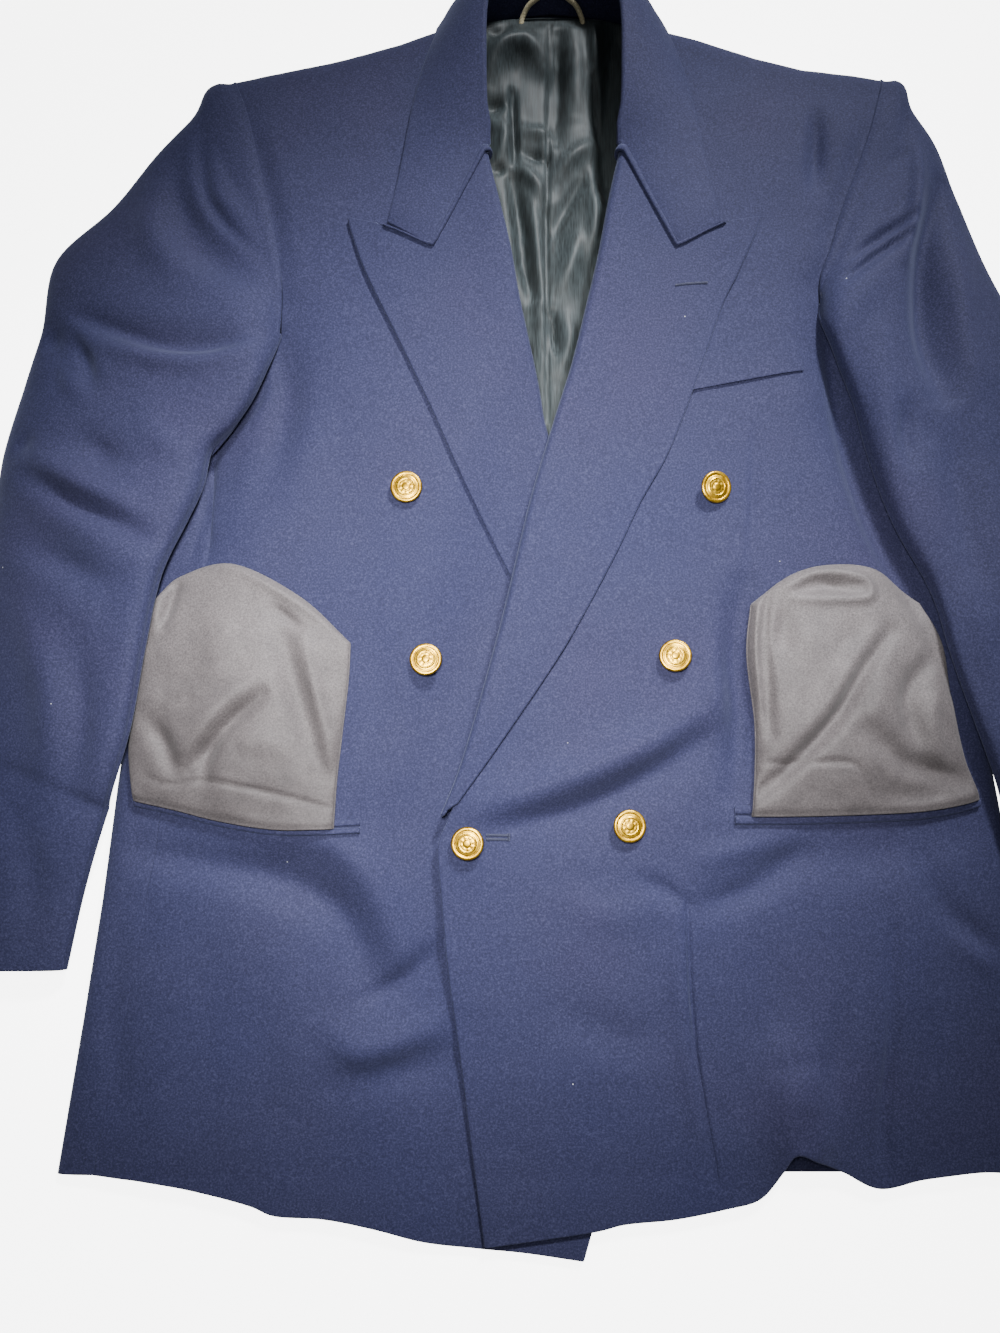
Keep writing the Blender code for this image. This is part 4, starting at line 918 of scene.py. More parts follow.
def front(side, wool, lining):
    plan = front_plan(side)
    x, y = plan[..., 0], plan[..., 1]
    quiet = smooth(side_distance(x, y) / 40) * smooth((y - HEM_Y + 60) / 60)
    z = front_top(side, x, y) + folds(x, y, FRONT_CREASES[side]) + lie(x, y, 11, 0.9) * quiet
    from_lapel = distance_to(x, y, dense(LAPEL_OUTER[side], 6))[0]
    z -= LAPEL_EDGE_GROOVE * np.exp(-((from_lapel / 2.4) ** 2))
    z[-1] = SHOULDER_EDGE_Z + SHOULDER_SEAM
    grid = on_plan(plan, z)
    if side == "left":
        grid = turned(grid)
    turn_up = (HEM_TURN, 0, 0, FACING) if side == "right" else (HEM_TURN, 0, FACING, 0)
    piece = cloth(f"cloth_front_{side}", grid, SUITING, (wool, lining), last_row=(0, 1, 0), turn_up=turn_up)
    placed(piece, "navy_wool", f"front_{side}")
    return piece, grid


# Side panels
def side_panel(side, wool, lining):
    """The strip between front and back: from the front seam, round the side fold, to the back seam below."""
    out = sign_of(side)
    path = dense(SIDE_SEAM[side])
    shares = steps_of(length_of(path))
    seam = sample(path, shares)
    on_front, outermost, on_back = SIDE_COLUMNS
    wrap_top = 1 - np.linspace(0, 1, on_front)[:-1] ** 0.8
    near, far_in = SIDE_WRAP[1][0], SIDE_WRAP[-1][0]
    inward = np.concatenate([np.linspace(0, near, outermost), np.linspace(near, far_in, on_back)[1:]])
    climb = np.interp(inward, [p[0] for p in SIDE_WRAP], [p[1] for p in SIDE_WRAP])
    grid = np.zeros((len(seam), len(wrap_top) + len(inward), 3))
    edge_x = column(BODY, side, seam[:, 1])
    for j, part in enumerate(wrap_top):
        x = edge_x + part * (seam[:, 0] - edge_x + out * SEAM_GAP / 2)
        z = body_top(x, seam[:, 1], FRONT_FOLDS[side]) + folds(x, seam[:, 1], FRONT_CREASES[side]) * part
        grid[:, j] = np.stack([x, seam[:, 1], z], axis=1)
    for j, (far, high) in enumerate(zip(inward, climb)):
        y = seam[:, 1] + shares**3 * high
        x = column(BODY, side, y) - out * far
        z = column(BODY, "edge", y) * (1 - round_edge(np.full(len(y), far), BACK_ROUND))
        grid[:, len(wrap_top) + j] = np.stack([x, y, z], axis=1)
    if side == "right":
        grid = turned(grid)
    piece = cloth(f"cloth_side_{side}", grid, SUITING, (wool, lining), turn_up=(HEM_TURN, 0, 0, 0))
    placed(piece, "navy_wool", f"side_{side}")
    return piece, grid


# Back panels
def back(side, wool, lining):
    """Half of the back: it lies on the surface and meets the side panel, the sleeve and the front."""
    out = sign_of(side)
    inset, climb = SIDE_WRAP[-1]
    shares = np.linspace(0, 1, 121)
    front_seam = sample(dense(SIDE_SEAM[side]), shares)
    rows = front_seam[:, 1] + shares**3 * climb
    seam = np.stack([column(BODY, side, rows) - out * (inset + SEAM_GAP), rows], axis=1)
    arm = sample(dense(ARMHOLE_BACK[side]), 1 - (1 - np.linspace(0, 1, 60)) ** 1.5)
    path = np.vstack([seam, arm[1:]])
    along = steps_of(length_of(path), PLAIN_STEP)
    outer = sample(path, along)
    centre_x = NECK_CENTRE_X + out * SEAM_GAP / 2
    centre = np.stack([np.full(len(along), centre_x), HEM_Y + along * (BACK_LENGTH_TOP - HEM_Y)], axis=1)
    across = steps_of(BACK_WIDTH, PLAIN_STEP)
    bottom = np.stack([outer[0, 0] + across * (centre_x - outer[0, 0]), np.full(len(across), HEM_Y)], axis=1)
    line = np.array(SHOULDER_LINE, float)
    xs = np.linspace(outer[-1, 0], NECK_CENTRE_X + out * 66, 40)
    shoulder = np.stack([xs, np.interp(xs, line[:, 0], line[:, 1])], axis=1)
    neck = [(NECK_CENTRE_X + out * away, high) for away, high in BACK_NECK]
    neck.append((centre_x, BACK_LENGTH_TOP))
    top = sample(np.vstack([shoulder, neck]), across)
    outer[-1], centre[-1] = top[0], top[-1]
    plan = coons(outer, centre, bottom, top, across, along)
    x, y = plan[..., 0], plan[..., 1]
    z = body_bottom(x, y)
    z = z + 0.5 * abs(lie(x, y, 31)) * smooth(side_distance(x, y) / 40) * smooth(z / 0.5 + 0.4)
    on_shoulder = abs(x[-1] - NECK_CENTRE_X) > 60
    z[-1] = np.where(on_shoulder, SHOULDER_EDGE_Z - SHOULDER_SEAM, z[-1])
    grid = on_plan(plan, z)
    if side == "right":
        grid = turned(grid)
        on_shoulder = on_shoulder[::-1]
    last = np.where(on_shoulder[:, None], (0.0, 1.0, 0.0), (0.0, 0.0, -1.0))
    turn_up = (HEM_TURN, 0, 0, 0)
    piece = cloth(f"cloth_back_{side}", grid, SUITING, (wool, lining), last_row=last, turn_up=turn_up)
    placed(piece, "navy_wool", f"back_{side}")
    return piece, grid


def back_lining(satin):
    """Back lining in the neck opening, with a pleat down the middle."""
    across = np.linspace(0, 1, LINING_COLUMNS)
    along = np.linspace(0, 1, LINING_ROWS)
    sides = [sample(dense(LINING_SIDE[side]), along) for side in ("right", "left")]
    bottom = np.array([path[0] for path in sides])
    rims = [sample(path, across) for path in (bottom, dense(LINING_TOP))]
    plan = coons(*sides, *rims, across, along)
    x, y = plan[..., 0], plan[..., 1]
    edge = smooth((568 - y) / 20) * smooth((74 - abs(x - NECK_CENTRE_X)) / 14)
    soft = folds(x, y, LINING_FOLDS) + folds(x, y, LINING_CREASES)
    soft += 0.9 * ripple(x * 1.6, y * 0.7, 15, 51) + 0.3 * ripple(x, y, 7, 52)
    z = body_bottom(x, y) + SUITING + LINING_CLOTH + 0.8 + edge * np.maximum(LINING_LOFT + soft, 0.2)
    grid = on_plan(plan, z)
    piece = cloth("cloth_back_lining", grid, LINING_CLOTH, (satin,))
    placed(piece, "lining_satin", "back_lining")
    return laid(piece)


# Lapels
def lapel(side, wool):
    """A lapel turned out over the front: its roll wraps the front's edge, and its leaf lies on the front."""
    out = sign_of(side)
    roll_path, outer_path = dense(ROLL_LINE[side]), dense(LAPEL_OUTER[side])
    along = steps_of(length_of(outer_path), LAPEL_STEP)
    roll, outer = sample(roll_path, along), sample(outer_path, along)
    peak_to_notch = dense(GORGE[side][:3])
    gorge = joined(peak_to_notch, dense(GORGE[side][2:]))
    across = steps_of(LAPEL_WIDTH, LAPEL_STEP)
    width = np.linalg.norm(outer - roll, axis=1)
    inward = (outer - roll) / width[:, None]
    roll_side = roll + inward * ROLL_TO_LAPEL
    top = sample(gorge, across * GORGE_ON_LEAF)
    roll_side[-1] = top[-1]
    bottom = sample(np.array([outer[0], roll_side[0]]), across)
    outer[-1] = top[0]
    plan = coons(outer, roll_side, bottom, top, across, along)
    x, y = plan[..., 0], plan[..., 1]
    from_roll = (1 - across[None, :]) * width[:, None]
    from_edge = across[None, :] * width[:, None]
    bulge = LAPEL_BULGE * np.exp(-((from_roll / 26) ** 2)) * smooth(width / 50)[:, None]
    lifted = LAPEL_EDGE_GAP + (LAPEL_GAP - LAPEL_EDGE_GAP) * smooth(from_edge / 22)
    leaf = front_top(side, x, y) + lifted + LAPEL_CLOTH + bulge
    leaf += 0.35 * lie(x, y, 71) * smooth(from_edge / 15)
    leaf += folds(x, y, LAPEL_CREASES[side])
    edge_point = plan[:, -1]
    z_edge = leaf[:, -1]
    z_under = front_top(side, edge_point[:, 0], edge_point[:, 1]) - SUITING - LAYER_GAP - LAPEL_CLOTH
    wrap = []
    for turn in np.linspace(0, 180, LAPEL_ROLL_STEPS + 1)[1:]:
        a = math.radians(turn)
        xy = edge_point - inward * ROLL_RADIUS * math.sin(a)
        z = (z_edge + z_under) / 2 + (z_edge - z_under) / 2 * math.cos(a)
        wrap.append(np.concatenate([xy, z[:, None]], axis=1))
    for far in (2.0, 4.0):
        tail = edge_point + inward * np.minimum(far, 0.125 * far * width)[:, None]
        wrap.append(np.concatenate([tail, z_under[:, None]], axis=1))
    grid = np.concatenate([on_plan(plan, leaf), np.stack(wrap, axis=1)], axis=1)
    grid = grid if out < 0 else turned(grid)
    piece = cloth(f"cloth_lapel_{side}", grid, LAPEL_CLOTH, (wool,), first_row=unit_normals(grid)[1])
    placed(piece, "navy_wool", f"lapel_{side}")
    return laid(piece)


# Collar
def mirrored(point):
    return (2 * NECK_CENTRE_X - point[0], point[1], point[2])


def collar_stations(name):
    """The stations' points on both halves, with those at height 0 set down on the fronts."""
    half = [getattr(s, name) for s in COLLAR if getattr(s, name) is not None]
    rows = np.array(half + [mirrored(p) for p in half[-2::-1]], float)
    for p in rows:
        if p[2] == 0:
            side = "right" if p[0] < NECK_CENTRE_X else "left"
            p[2] = front_top(side, p[0], p[1]) + LAYER_GAP + COLLAR_CLOTH + 1.0
    return rows


def outward(fold, edge):
    """Unit vectors square to the leaf, pointing away from the neck."""
    along = np.gradient(fold, axis=0)
    n = np.cross(fold - edge, along)
    return n / np.linalg.norm(n, axis=1, keepdims=True)


def collar(wool):
    """Leaf, roll and stand in one cloth, from the leaf's edge over the fold and down to the neck seam.

    At both front ends the stand runs out, and the leaf meets the lapel at the gorge.
    """
    fold = dense(collar_stations("fold"), COLLAR_STEPS)
    edge = dense(collar_stations("edge"), COLLAR_STEPS)
    inner = dense(collar_stations("seam"), COLLAR_STEPS)
    missing = (len(fold) - len(inner)) // 2
    at = np.arange(len(fold))
    seam = np.stack([np.interp(at - missing, np.arange(len(inner)), inner[:, k]) for k in range(3)], axis=1)
    half = [row.bow for row in COLLAR]
    bow = np.interp(np.linspace(0, 1, len(fold)), np.linspace(0, 1, 2 * len(half) - 1), half + half[-2::-1])
    from_end = np.minimum(at, at[::-1]) / missing
    standing = smooth((from_end - 0.75) / 0.5)[:, None]
    n = outward(fold, edge)
    span = edge - fold
    down = -span / np.linalg.norm(span, axis=1, keepdims=True)
    grid = []
    section = dense(LEAF_SECTION, LEAF_STEPS)
    for share, rise in section:
        point = fold + span * share + n * (rise * bow)[:, None]
        wave = 0.3 * lie(point[:, 0], point[:, 1], 91) * share * (1 - share) * 4
        grid.append(point + (0, 0, 1) * wave[:, None])
    start = fold - down * 0.4
    for turn in np.linspace(0, 180, COLLAR_ROLL_STEPS + 1)[1:]:
        a = math.radians(turn) * (0.08 + 0.92 * standing)
        grid.append(start + down * COLLAR_ROLL * np.sin(a) - n * COLLAR_ROLL * (1 - np.cos(a)))
    below = grid[-1]
    foot = seam * standing + (below - n * 0.5 - down * 0.4) * (1 - standing)
    for share in np.linspace(0, 1, COLLAR_FOOT_STEPS + 1)[1:]:
        grid.append(below + (foot - below) * share)
    grid = np.stack(grid, axis=1)
    piece = cloth("cloth_collar", grid, COLLAR_CLOTH - 0.2, (wool,))
    placed(piece, "navy_wool", "collar_leaf", "collar_stand")
    return laid(piece)


# Sleeves
def over_body(side, x, y):
    """Height of cloth that lies over the body's side and falls to the surface beside it.

    Above the waist it falls like a tent from a line 20 mm inside the body's edge.
    """
    d = side_distance(x, y)
    ridge, foot = 20.0, -30.0
    on_ridge = x + sign_of(side) * np.minimum(d - ridge, 0)
    height = front_top(side, on_ridge, y) + SLEEVE_ROOM
    reach = np.clip((ridge - d) / (ridge - foot), 0, 1)
    tent = height * (1 - reach**2) ** 0.7
    beside = (column(BODY, "edge", y) + SLEEVE_ROOM) * smooth((d - foot) / 30)
    close = np.where(d > 0, front_top(side, x, y) + SLEEVE_ROOM, beside)
    return close + (tent - close) * smooth((y - 40) / 80)


def round_body(x, y):
    """Height of cloth behind the body: it rises only to meet the underarm."""
    d = side_distance(x, y)
    edge = column(BODY, "edge", y)
    behind = edge * (1 - round_edge(d, BACK_ROUND))
    beside = edge * smooth((d + 30) / 30)
    return np.where(d > 0, behind, beside) * (1 - smooth((y - UNDERARM_Y) / 40))


def under_armhole(side):
    """The under sleeve's seam, and the number of its points up to the end of the side panel."""
    out = sign_of(side)
    low_armhole = dense(ARMHOLE_BACK[side])[::-1]
    round_side = [(column(BODY, side, UNDERARM_Y) - out * inward, UNDERARM_Y + climb)
                  for inward, climb in reversed(SIDE_WRAP[:-1])]
    low = dense(ARMHOLE_LOW[side])
    path = np.vstack([low_armhole, round_side, low])
    path[:, 0] += out * SLEEVE_SEAM_GAP
    path[len(low_armhole) + len(round_side):, 1] += 1.5
    return path, len(low_armhole) + len(round_side)


def sleeve_edges(side, along):
    """The folded edges on the plan, pushed out a little at the padded head."""
    edges = []
    for name in ("outer", "inner"):
        path = dense([getattr(row, name) for row in SLEEVE[side]], 8)
        index = np.linspace(0, 1, len(path))
        edges.append(np.stack([np.interp(along, index, path[:, k]) for k in (0, 1)], axis=1))
    outer, inner = edges
    head = along * SLEEVE_LENGTH
    push = HEAD_PUSH * smooth(head / 8) * np.exp(-(((head - 14) / 12) ** 2))
    outer += push[:, None] * (sign_of(side) * 0.7, 0.7)
    return outer, inner


def sleeve_front(side, across, along, outer, inner, seam):
    """The tube's seen side, from its outer to its inner edge and from the armhole to the cuff."""
    rows = SLEEVE[side]
    at = np.linspace(0, 1, len(rows))
    rise = np.interp(along, at, [row.rise for row in rows])
    lift = np.interp(along, at, [row.lift for row in rows])
    cuff = outer[-1] + (inner[-1] - outer[-1]) * across[:, None]
    plan = coons(outer, inner, seam, cuff, across, along)
    x, y = plan[..., 0], plan[..., 1]
    arch = ((1 - abs(2 * across - 1) ** ARCH_POWER) ** (1 / ARCH_POWER))[None, :]
    base = over_body(side, inner[:, 0], inner[:, 1])[:, None] * across
    on_body = smooth(side_distance(inner[:, 0], inner[:, 1]) / 30)
    edge_lift = lift[:, None] * (1 - 0.45 * on_body[:, None] * across)
    soft = folds(x, y, SLEEVE_FOLDS[side]) + folds(x, y, SLEEVE_CREASES[side]) + lie(x, y, 41, 1.1)
    z = base + edge_lift + (rise - lift)[:, None] * arch
    z += soft * arch
    at_seam = front_top(side, seam[:, 0], seam[:, 1]) + 1.0
    at_seam[0] = SHOULDER_EDGE_Z + 1.0
    past_seam = smooth(along / 0.16)[:, None]
    z = at_seam[None, :] * (1 - past_seam) + z * past_seam
    from_seam = along[:, None] * SLEEVE_LENGTH
    z += SLEEVE_HEAD * smooth(from_seam / 7) * np.exp(-from_seam / 26) * arch
    return on_plan(plan, z)


def sleeve_back(side, along, outer, inner, upper):
    """The tube's side that lies below, from its outer to its inner edge and from the armhole to the cuff."""
    path, turn = under_armhole(side)
    at_turn = fractions_of(path)[turn - 1]
    before, after = UNDER_COLUMNS
    w = np.concatenate([np.linspace(0, at_turn, before), np.linspace(at_turn, 1, after)[1:]])
    top = sample(path, w)
    top[0], top[-1] = outer[0], inner[0]
    straight = outer[0] + (inner[0] - outer[0]) * w[:, None]
    fade = np.stack([(1 - along) ** 2, 1 - along], axis=1)
    plan = outer[:, None] * (1 - w[None, :, None]) + inner[:, None] * w[None, :, None]
    plan += fade[:, None] * (top - straight)[None]
    x, y = plan[..., 0], plan[..., 1]
    on_body = smooth((w - at_turn + 0.18) / 0.18)[None, :]
    base = round_body(x, y) * (1 - on_body) + over_body(side, x, y) * on_body
    edge_z = upper[:, 0, 2][:, None] * (1 - w) + upper[:, -1, 2][:, None] * w - SLEEVE_EDGE_DROP
    rim_share = abs(2 * w - 1) ** 9
    return on_plan(plan, base + (edge_z - base) * rim_share[None, :])


def sleeve(side, wool, lining):
    """Top and under sleeve in one flattened tube with a rounded fold at each edge."""
    out = sign_of(side)
    across = eased(SLEEVE_COLUMNS)
    along = steps_of(SLEEVE_LENGTH) ** 0.95
    outer, inner = sleeve_edges(side, along)
    seam = sample(dense(ARMHOLE_FRONT[side]), across)[::-1]
    seam = shifted(seam, out * SLEEVE_SEAM_GAP)
    outer[0], inner[0] = seam[0], seam[-1]
    upper = sleeve_front(side, across, along, outer, inner, seam)
    under = sleeve_back(side, along, outer, inner, upper)
    fold_out = between_edges(upper[:, 0], under[:, 0], under[:, 0, :2] - under[:, 1, :2])
    fold_in = between_edges(under[:, -1], upper[:, -1], under[:, -1, :2] - under[:, -2, :2])
    ring = np.concatenate([turned(upper), fold_out, under, fold_in], axis=1)[::-1]
    ring = turned(ring) if out < 0 else ring
    turn_up = (CUFF_TURN, 0, 0, 0)
    piece = cloth(f"cloth_sleeve_{side}", ring, SUITING, (wool, lining), closed=True, turn_up=turn_up)
    placed(piece, "navy_wool", f"sleeve_top_{side}", f"sleeve_under_{side}")
    return laid(piece)


def between_edges(a, b, away):
    """Two columns that carry the cloth round a folded edge, from a to b."""
    away = away / np.maximum(np.linalg.norm(away, axis=1, keepdims=True), 1e-9)
    middle = (a + b) / 2
    out = np.concatenate([away, np.zeros((len(a), 1))], axis=1) * SLEEVE_EDGE_DROP * 0.4
    columns = [middle + (a - middle) * k + out for k in (0.5, -0.5)]
    return np.stack(columns, axis=1)


# Pockets
def pocket_jet(side, edge, wool):
    """One lip of the hip pocket's opening: a narrow folded strip."""
    path = dense(POCKET_LINE[side])
    line = sample(path, steps_of(length_of(path), TRIM_STEP))
    depth = JET_DEPTH[side]
    span = (-depth, -JET_GAP) if edge == "lower" else (JET_GAP, depth)
    plan = np.stack([shifted(line, 0, offset) for offset in np.linspace(*span, JET_ROWS)])
    x, y = plan[..., 0], plan[..., 1]
    pillow = np.sqrt(np.maximum(1 - np.linspace(-1, 1, JET_ROWS) ** 4, 0))[:, None]
    standing = LOWER_LIP if edge == "lower" else UPPER_LIP
    z = front_top(side, x, y) + folds(x, y, FRONT_CREASES[side]) + 0.5 + standing * pillow
    grid = on_plan(plan, z)
    grid = grid if side == "left" else turned(grid)
    piece = cloth(f"jet_{edge}_{side}", grid, TRIM_CLOTH, (wool,))
    return placed(piece, "navy_wool", f"pocket_jet_{edge}_{side}")


def pocket_bag(side, cotton):
    """The pocket bag turned out: an under layer and an upper layer in one cloth, folded at the top."""
    inner_path, outer_path, top_path = dense(BAG_INNER[side]), dense(BAG_OUTER[side]), dense(BAG_TOP[side])
    across = steps_of(length_of(top_path), BAG_STEP)
    along = steps_of(length_of(outer_path), BAG_STEP)
    inner = sample(inner_path, along)
    outer = sample(outer_path, along)
    slit = dense(POCKET_LINE[side])
    bottom_x = inner[0, 0] + across * (outer[0, 0] - inner[0, 0])
    order = np.argsort(slit[:, 0])
    bottom_y = np.interp(bottom_x, slit[order, 0], slit[order, 1]) - BAG_BELOW_SLIT
    bottom = np.stack([bottom_x, bottom_y], axis=1)
    inner[0], outer[0] = bottom[0], bottom[-1]
    top = sample(top_path, across)
    plan = coons(inner, outer, bottom, top, across, along)
    x, y = plan[..., 0], plan[..., 1]
    up = along[:, None] * length_of(outer_path)
    over_jet = BAG_OVER_JET * (1 - smooth(up / 28)) - BAG_DIVE * (1 - smooth(up / 5))
    low = front_top(side, x, y) + folds(x, y, FRONT_CREASES[side]) + POCKETING + 0.8 + over_jet
    from_sides = np.minimum(across, 1 - across)[None, :] * length_of(top_path)
    from_top = (1 - along)[:, None] * length_of(outer_path)
    from_edge = np.minimum(from_sides, from_top)
    pillow = (1 - abs(2 * across - 1) ** 2.5)[None, :] * (1 - along[:, None] ** 4)
    soft = folds(x, y, BAG_FOLDS[side]) + 0.9 * ripple(x, y, 22, 61) + 0.3 * ripple(x, y, 8, 62)
    puff = 1.3 + (BAG_EDGE + BAG_PUFF * pillow * smooth(along / 0.25)[:, None]) * round_edge(from_edge, 6)
    puff += soft * smooth(from_edge / 4) * smooth(along / 0.06)[:, None]
    upper = on_plan(plan, low + np.maximum(puff, 1.25))
    under = on_plan(plan, low)
    away = plan[-1:] - plan[-2:-1]
    away *= 0.7 / np.maximum(np.linalg.norm(away, axis=2, keepdims=True), 1e-9)
    tip = on_plan(plan[-1:] + away, (upper[-1:, :, 2] + low[-1:]) / 2)
    grid = np.concatenate([upper, tip, under[::-1]], axis=0)
    grid = turned(grid) if side == "right" else grid
    piece = cloth(f"cloth_pocket_bag_{side}", grid, POCKETING * 0.9, (cotton,))
    placed(piece, "pocketing", f"pocket_bag_{side}")
    return laid(piece)


def breast_welt(wool):
    """Breast pocket welt on the left front, its inner end covered by the lapel."""
    a, b, c, d = (np.array(p, float) for p in BREAST_WELT)
    across = (0.03 + 0.97 * steps_of(WELT_WIDTH, TRIM_STEP))[None, :, None]
    along = steps_of(WELT_HEIGHT, TRIM_STEP)[:, None, None]
    plan = (1 - along) * ((1 - across) * a + across * b) + along * ((1 - across) * d + across * c)
    x, y = plan[..., 0], plan[..., 1]
    z = front_top("left", x, y) + 0.6 + TRIM_CLOTH
    piece = cloth("welt_breast", on_plan(plan, z), TRIM_CLOTH, (wool,))
    return placed(piece, "navy_wool", "breast_pocket_welt")


# Buttons, hanging loop and stitching
def spun(name, profile, steps, materials, twist=None):
    """A form spun round its upright axis from radii and heights, with a point on the axis first and last."""
    turn = np.arange(steps) * math.tau / steps
    r = np.array([p[0] for p in profile])
    h = np.array([p[1] for p in profile])
    lift = np.zeros((len(profile), steps)) if twist is None else twist(r[:, None], turn[None, :])
    x = r[:, None] * np.cos(turn)
    y = r[:, None] * np.sin(turn)
    points = np.stack([x, y, h[:, None] + lift], axis=2)
    index = np.arange(len(profile) * steps).reshape(len(profile), steps)
    after = np.roll(index, -1, axis=1)
    faces = np.stack([index[:-1], after[:-1], after[1:], index[1:]], axis=-1).reshape(-1, 4)
    build = bmesh.new()
    verts = [build.verts.new(p * MM) for p in points.reshape(-1, 3)]
    for face in faces:
        build.faces.new([verts[k] for k in face])
    bmesh.ops.remove_doubles(build, verts=build.verts, dist=0.004 * MM)
    bmesh.ops.recalc_face_normals(build, faces=build.faces)
    mesh = bpy.data.meshes.new(name)
    build.to_mesh(mesh)
    build.free()
    for material in materials:
        mesh.materials.append(material)
    mesh.shade_smooth()
    obj = bpy.data.objects.new(name, mesh)
    bpy.context.scene.collection.objects.link(obj)
    return obj


def raised_ring(share, middle, width, height):
    return height * np.exp(-(((share - middle) / width) ** 2))


def button(row, brass):
    """A domed gilt button: a rope round the rim, a plain band and raised rings round a small boss."""
    profile = dense(BUTTON_FACE, 3) * (BUTTON_RADIUS, BUTTON_THICKNESS)
    profile[:, 0] = np.maximum(profile[:, 0], 0)

    def relief(r, turn):
        share = r / BUTTON_RADIUS
        rope = raised_ring(share, *ROPE) * np.sin(turn * ROPE_TURNS + share * ROPE_LEAN)
        petals = raised_ring(share, *PETAL_RING) * np.cos(turn * PETALS)
        return np.where(np.arange(len(r))[:, None] > len(r) // 3, rope + petals, 0)

    piece = spun(f"gilt_button_{row.name}", profile, BUTTON_SIDES, (brass,), relief)
    low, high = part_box(f"button_{row.name}")
    piece.location = ((low.x + high.x) / 2, (low.y + high.y) / 2, low.z + row.raised * MM)
    piece.rotation_euler = (math.radians(row.pitch), math.radians(row.roll), math.radians(row.turn))
    shank = spun(f"shank_{row.name}", SHANK, SHANK_SIDES, (brass,))
    shank.location = piece.location
    placed(shank, "brass")
    return placed(piece, "brass", f"button_{row.name}")


def tube(name, path, radius, material, sides, twist, bump, plies):
    """A cord of twisted plies along the path, with rounded ends."""
    along = np.gradient(path, axis=0)
    along /= np.linalg.norm(along, axis=1, keepdims=True)
    across = np.cross(along, (0.05, 0.6, -0.8))
    across /= np.linalg.norm(across, axis=1, keepdims=True)
    square = np.cross(along, across)
    turn = np.arange(sides) * math.tau / sides
    run = fractions_of(path) * length_of(path)
    end = np.minimum(run, run[-1] - run)
    thin = np.sqrt(1 - (1 - np.clip(end / radius, 0.02, 1)) ** 2)
    r = radius * thin[:, None] * (1 + bump * abs(np.cos((turn[None, :] - twist * run[:, None]) * plies / 2)))
    sideways = across[:, None] * (r * np.cos(turn))[..., None]
    upward = square[:, None] * (r * np.sin(turn))[..., None]
    rings = path[:, None] + sideways + upward
    index = np.arange(len(path) * sides).reshape(len(path), sides)
    after = np.roll(index, -1, axis=1)
    faces = np.stack([index[:-1], after[:-1], after[1:], index[1:]], axis=-1).reshape(-1, 4)
    middle = np.array([path[0], path[-1]])
    count = rings.shape[0] * sides
    caps = []
    for ring, centre in ((index[0][::-1], count), (index[-1], count + 1)):
        pairs = ring.reshape(-1, 2)
        after_pair = np.roll(ring, -2).reshape(-1, 2)[:, 0]
        caps.append(np.stack([pairs[:, 0], pairs[:, 1], after_pair, np.full(len(pairs), centre)], axis=1))
    vertices = np.concatenate([rings.reshape(-1, 3), middle])
    return mesh_object(name, vertices, np.concatenate([faces, *caps]), (material,))


def hang_loop(cord):
    piece = tube("hanging_loop", dense(HANG_LOOP, 14), HANG_LOOP_RADIUS, cord,
                 HANG_LOOP_SIDES, HANG_LOOP_TWIST, HANG_LOOP_BUMP, HANG_LOOP_PLIES)
    return placed(piece, "lining_satin", "hang_loop")


def on_left_front(x, y):
    return np.stack([x, y, front_top("left", x, y) + folds(x, y, FRONT_CREASES["left"])], axis=-1)


def on_left_lapel(x, y):
    return np.stack([x, y, front_top("left", x, y) + LAPEL_GAP + LAPEL_CLOTH + 0.1], axis=-1)


def bar_stitches(name, path, thread, surface):
    """Close thread bars square to a path, as round a buttonhole."""
    path = sample(np.array(path, float), np.linspace(0, 1, 80))
    count = int(length_of(path) / STITCH_PITCH)
    centres = sample(path, (np.arange(count) + 0.5) / count)
    further = sample(path, np.minimum((np.arange(count) + 0.8) / count, 1.0))
    ahead = further - sample(path, np.arange(count) / count)
    ahead /= np.linalg.norm(ahead, axis=1, keepdims=True)
    square = np.stack([-ahead[:, 1], ahead[:, 0]], axis=1)
    vertices, faces = [], []
    turn = np.arange(BAR_SIDES) * math.tau / BAR_SIDES
    shares = np.linspace(-1, 1, BAR_RINGS)
    thick = STITCH_RADIUS * np.sqrt(1 - 0.9 * shares**2)
    halves = [[0, 1, 2, 3], [3, 4, 5, 0]]
    for k, (centre, side) in enumerate(zip(centres, square)):
        line = centre + side * (shares * STITCH_REACH / 2)[:, None]
        ground = surface(line[:, 0], line[:, 1])
        arc = ground + np.array([0, 0, 1]) * (STITCH_RADIUS * 1.6 * np.sqrt(1 - 0.96 * shares**2))[:, None]
        round_it = np.stack([ahead[k, 0] * np.cos(turn), ahead[k, 1] * np.cos(turn), np.sin(turn)], axis=1)
        vertices.append((arc[:, None] + thick[:, None, None] * round_it[None]).reshape(-1, 3))
        index = (np.arange(BAR_RINGS * BAR_SIDES) + BAR_RINGS * BAR_SIDES * k).reshape(BAR_RINGS, BAR_SIDES)
        after = np.roll(index, -1, axis=1)
        faces.append(np.stack([index[:-1], after[:-1], after[1:], index[1:]], axis=-1).reshape(-1, 4))
        faces.append(index[0][halves][:, ::-1])
        faces.append(index[-1][halves])
    return mesh_object(name, np.concatenate(vertices), np.concatenate(faces), (thread,))


def buttonholes(thread):
    """The thread of the buttonholes in the left front and the left lapel."""
    made = []
    for name, path in BUTTONHOLES.items():
        surface = on_left_front if name.startswith("front") else on_left_lapel
        made.append(placed(bar_stitches(f"stitches_{name}", path, thread, surface), "navy_wool"))
    return made


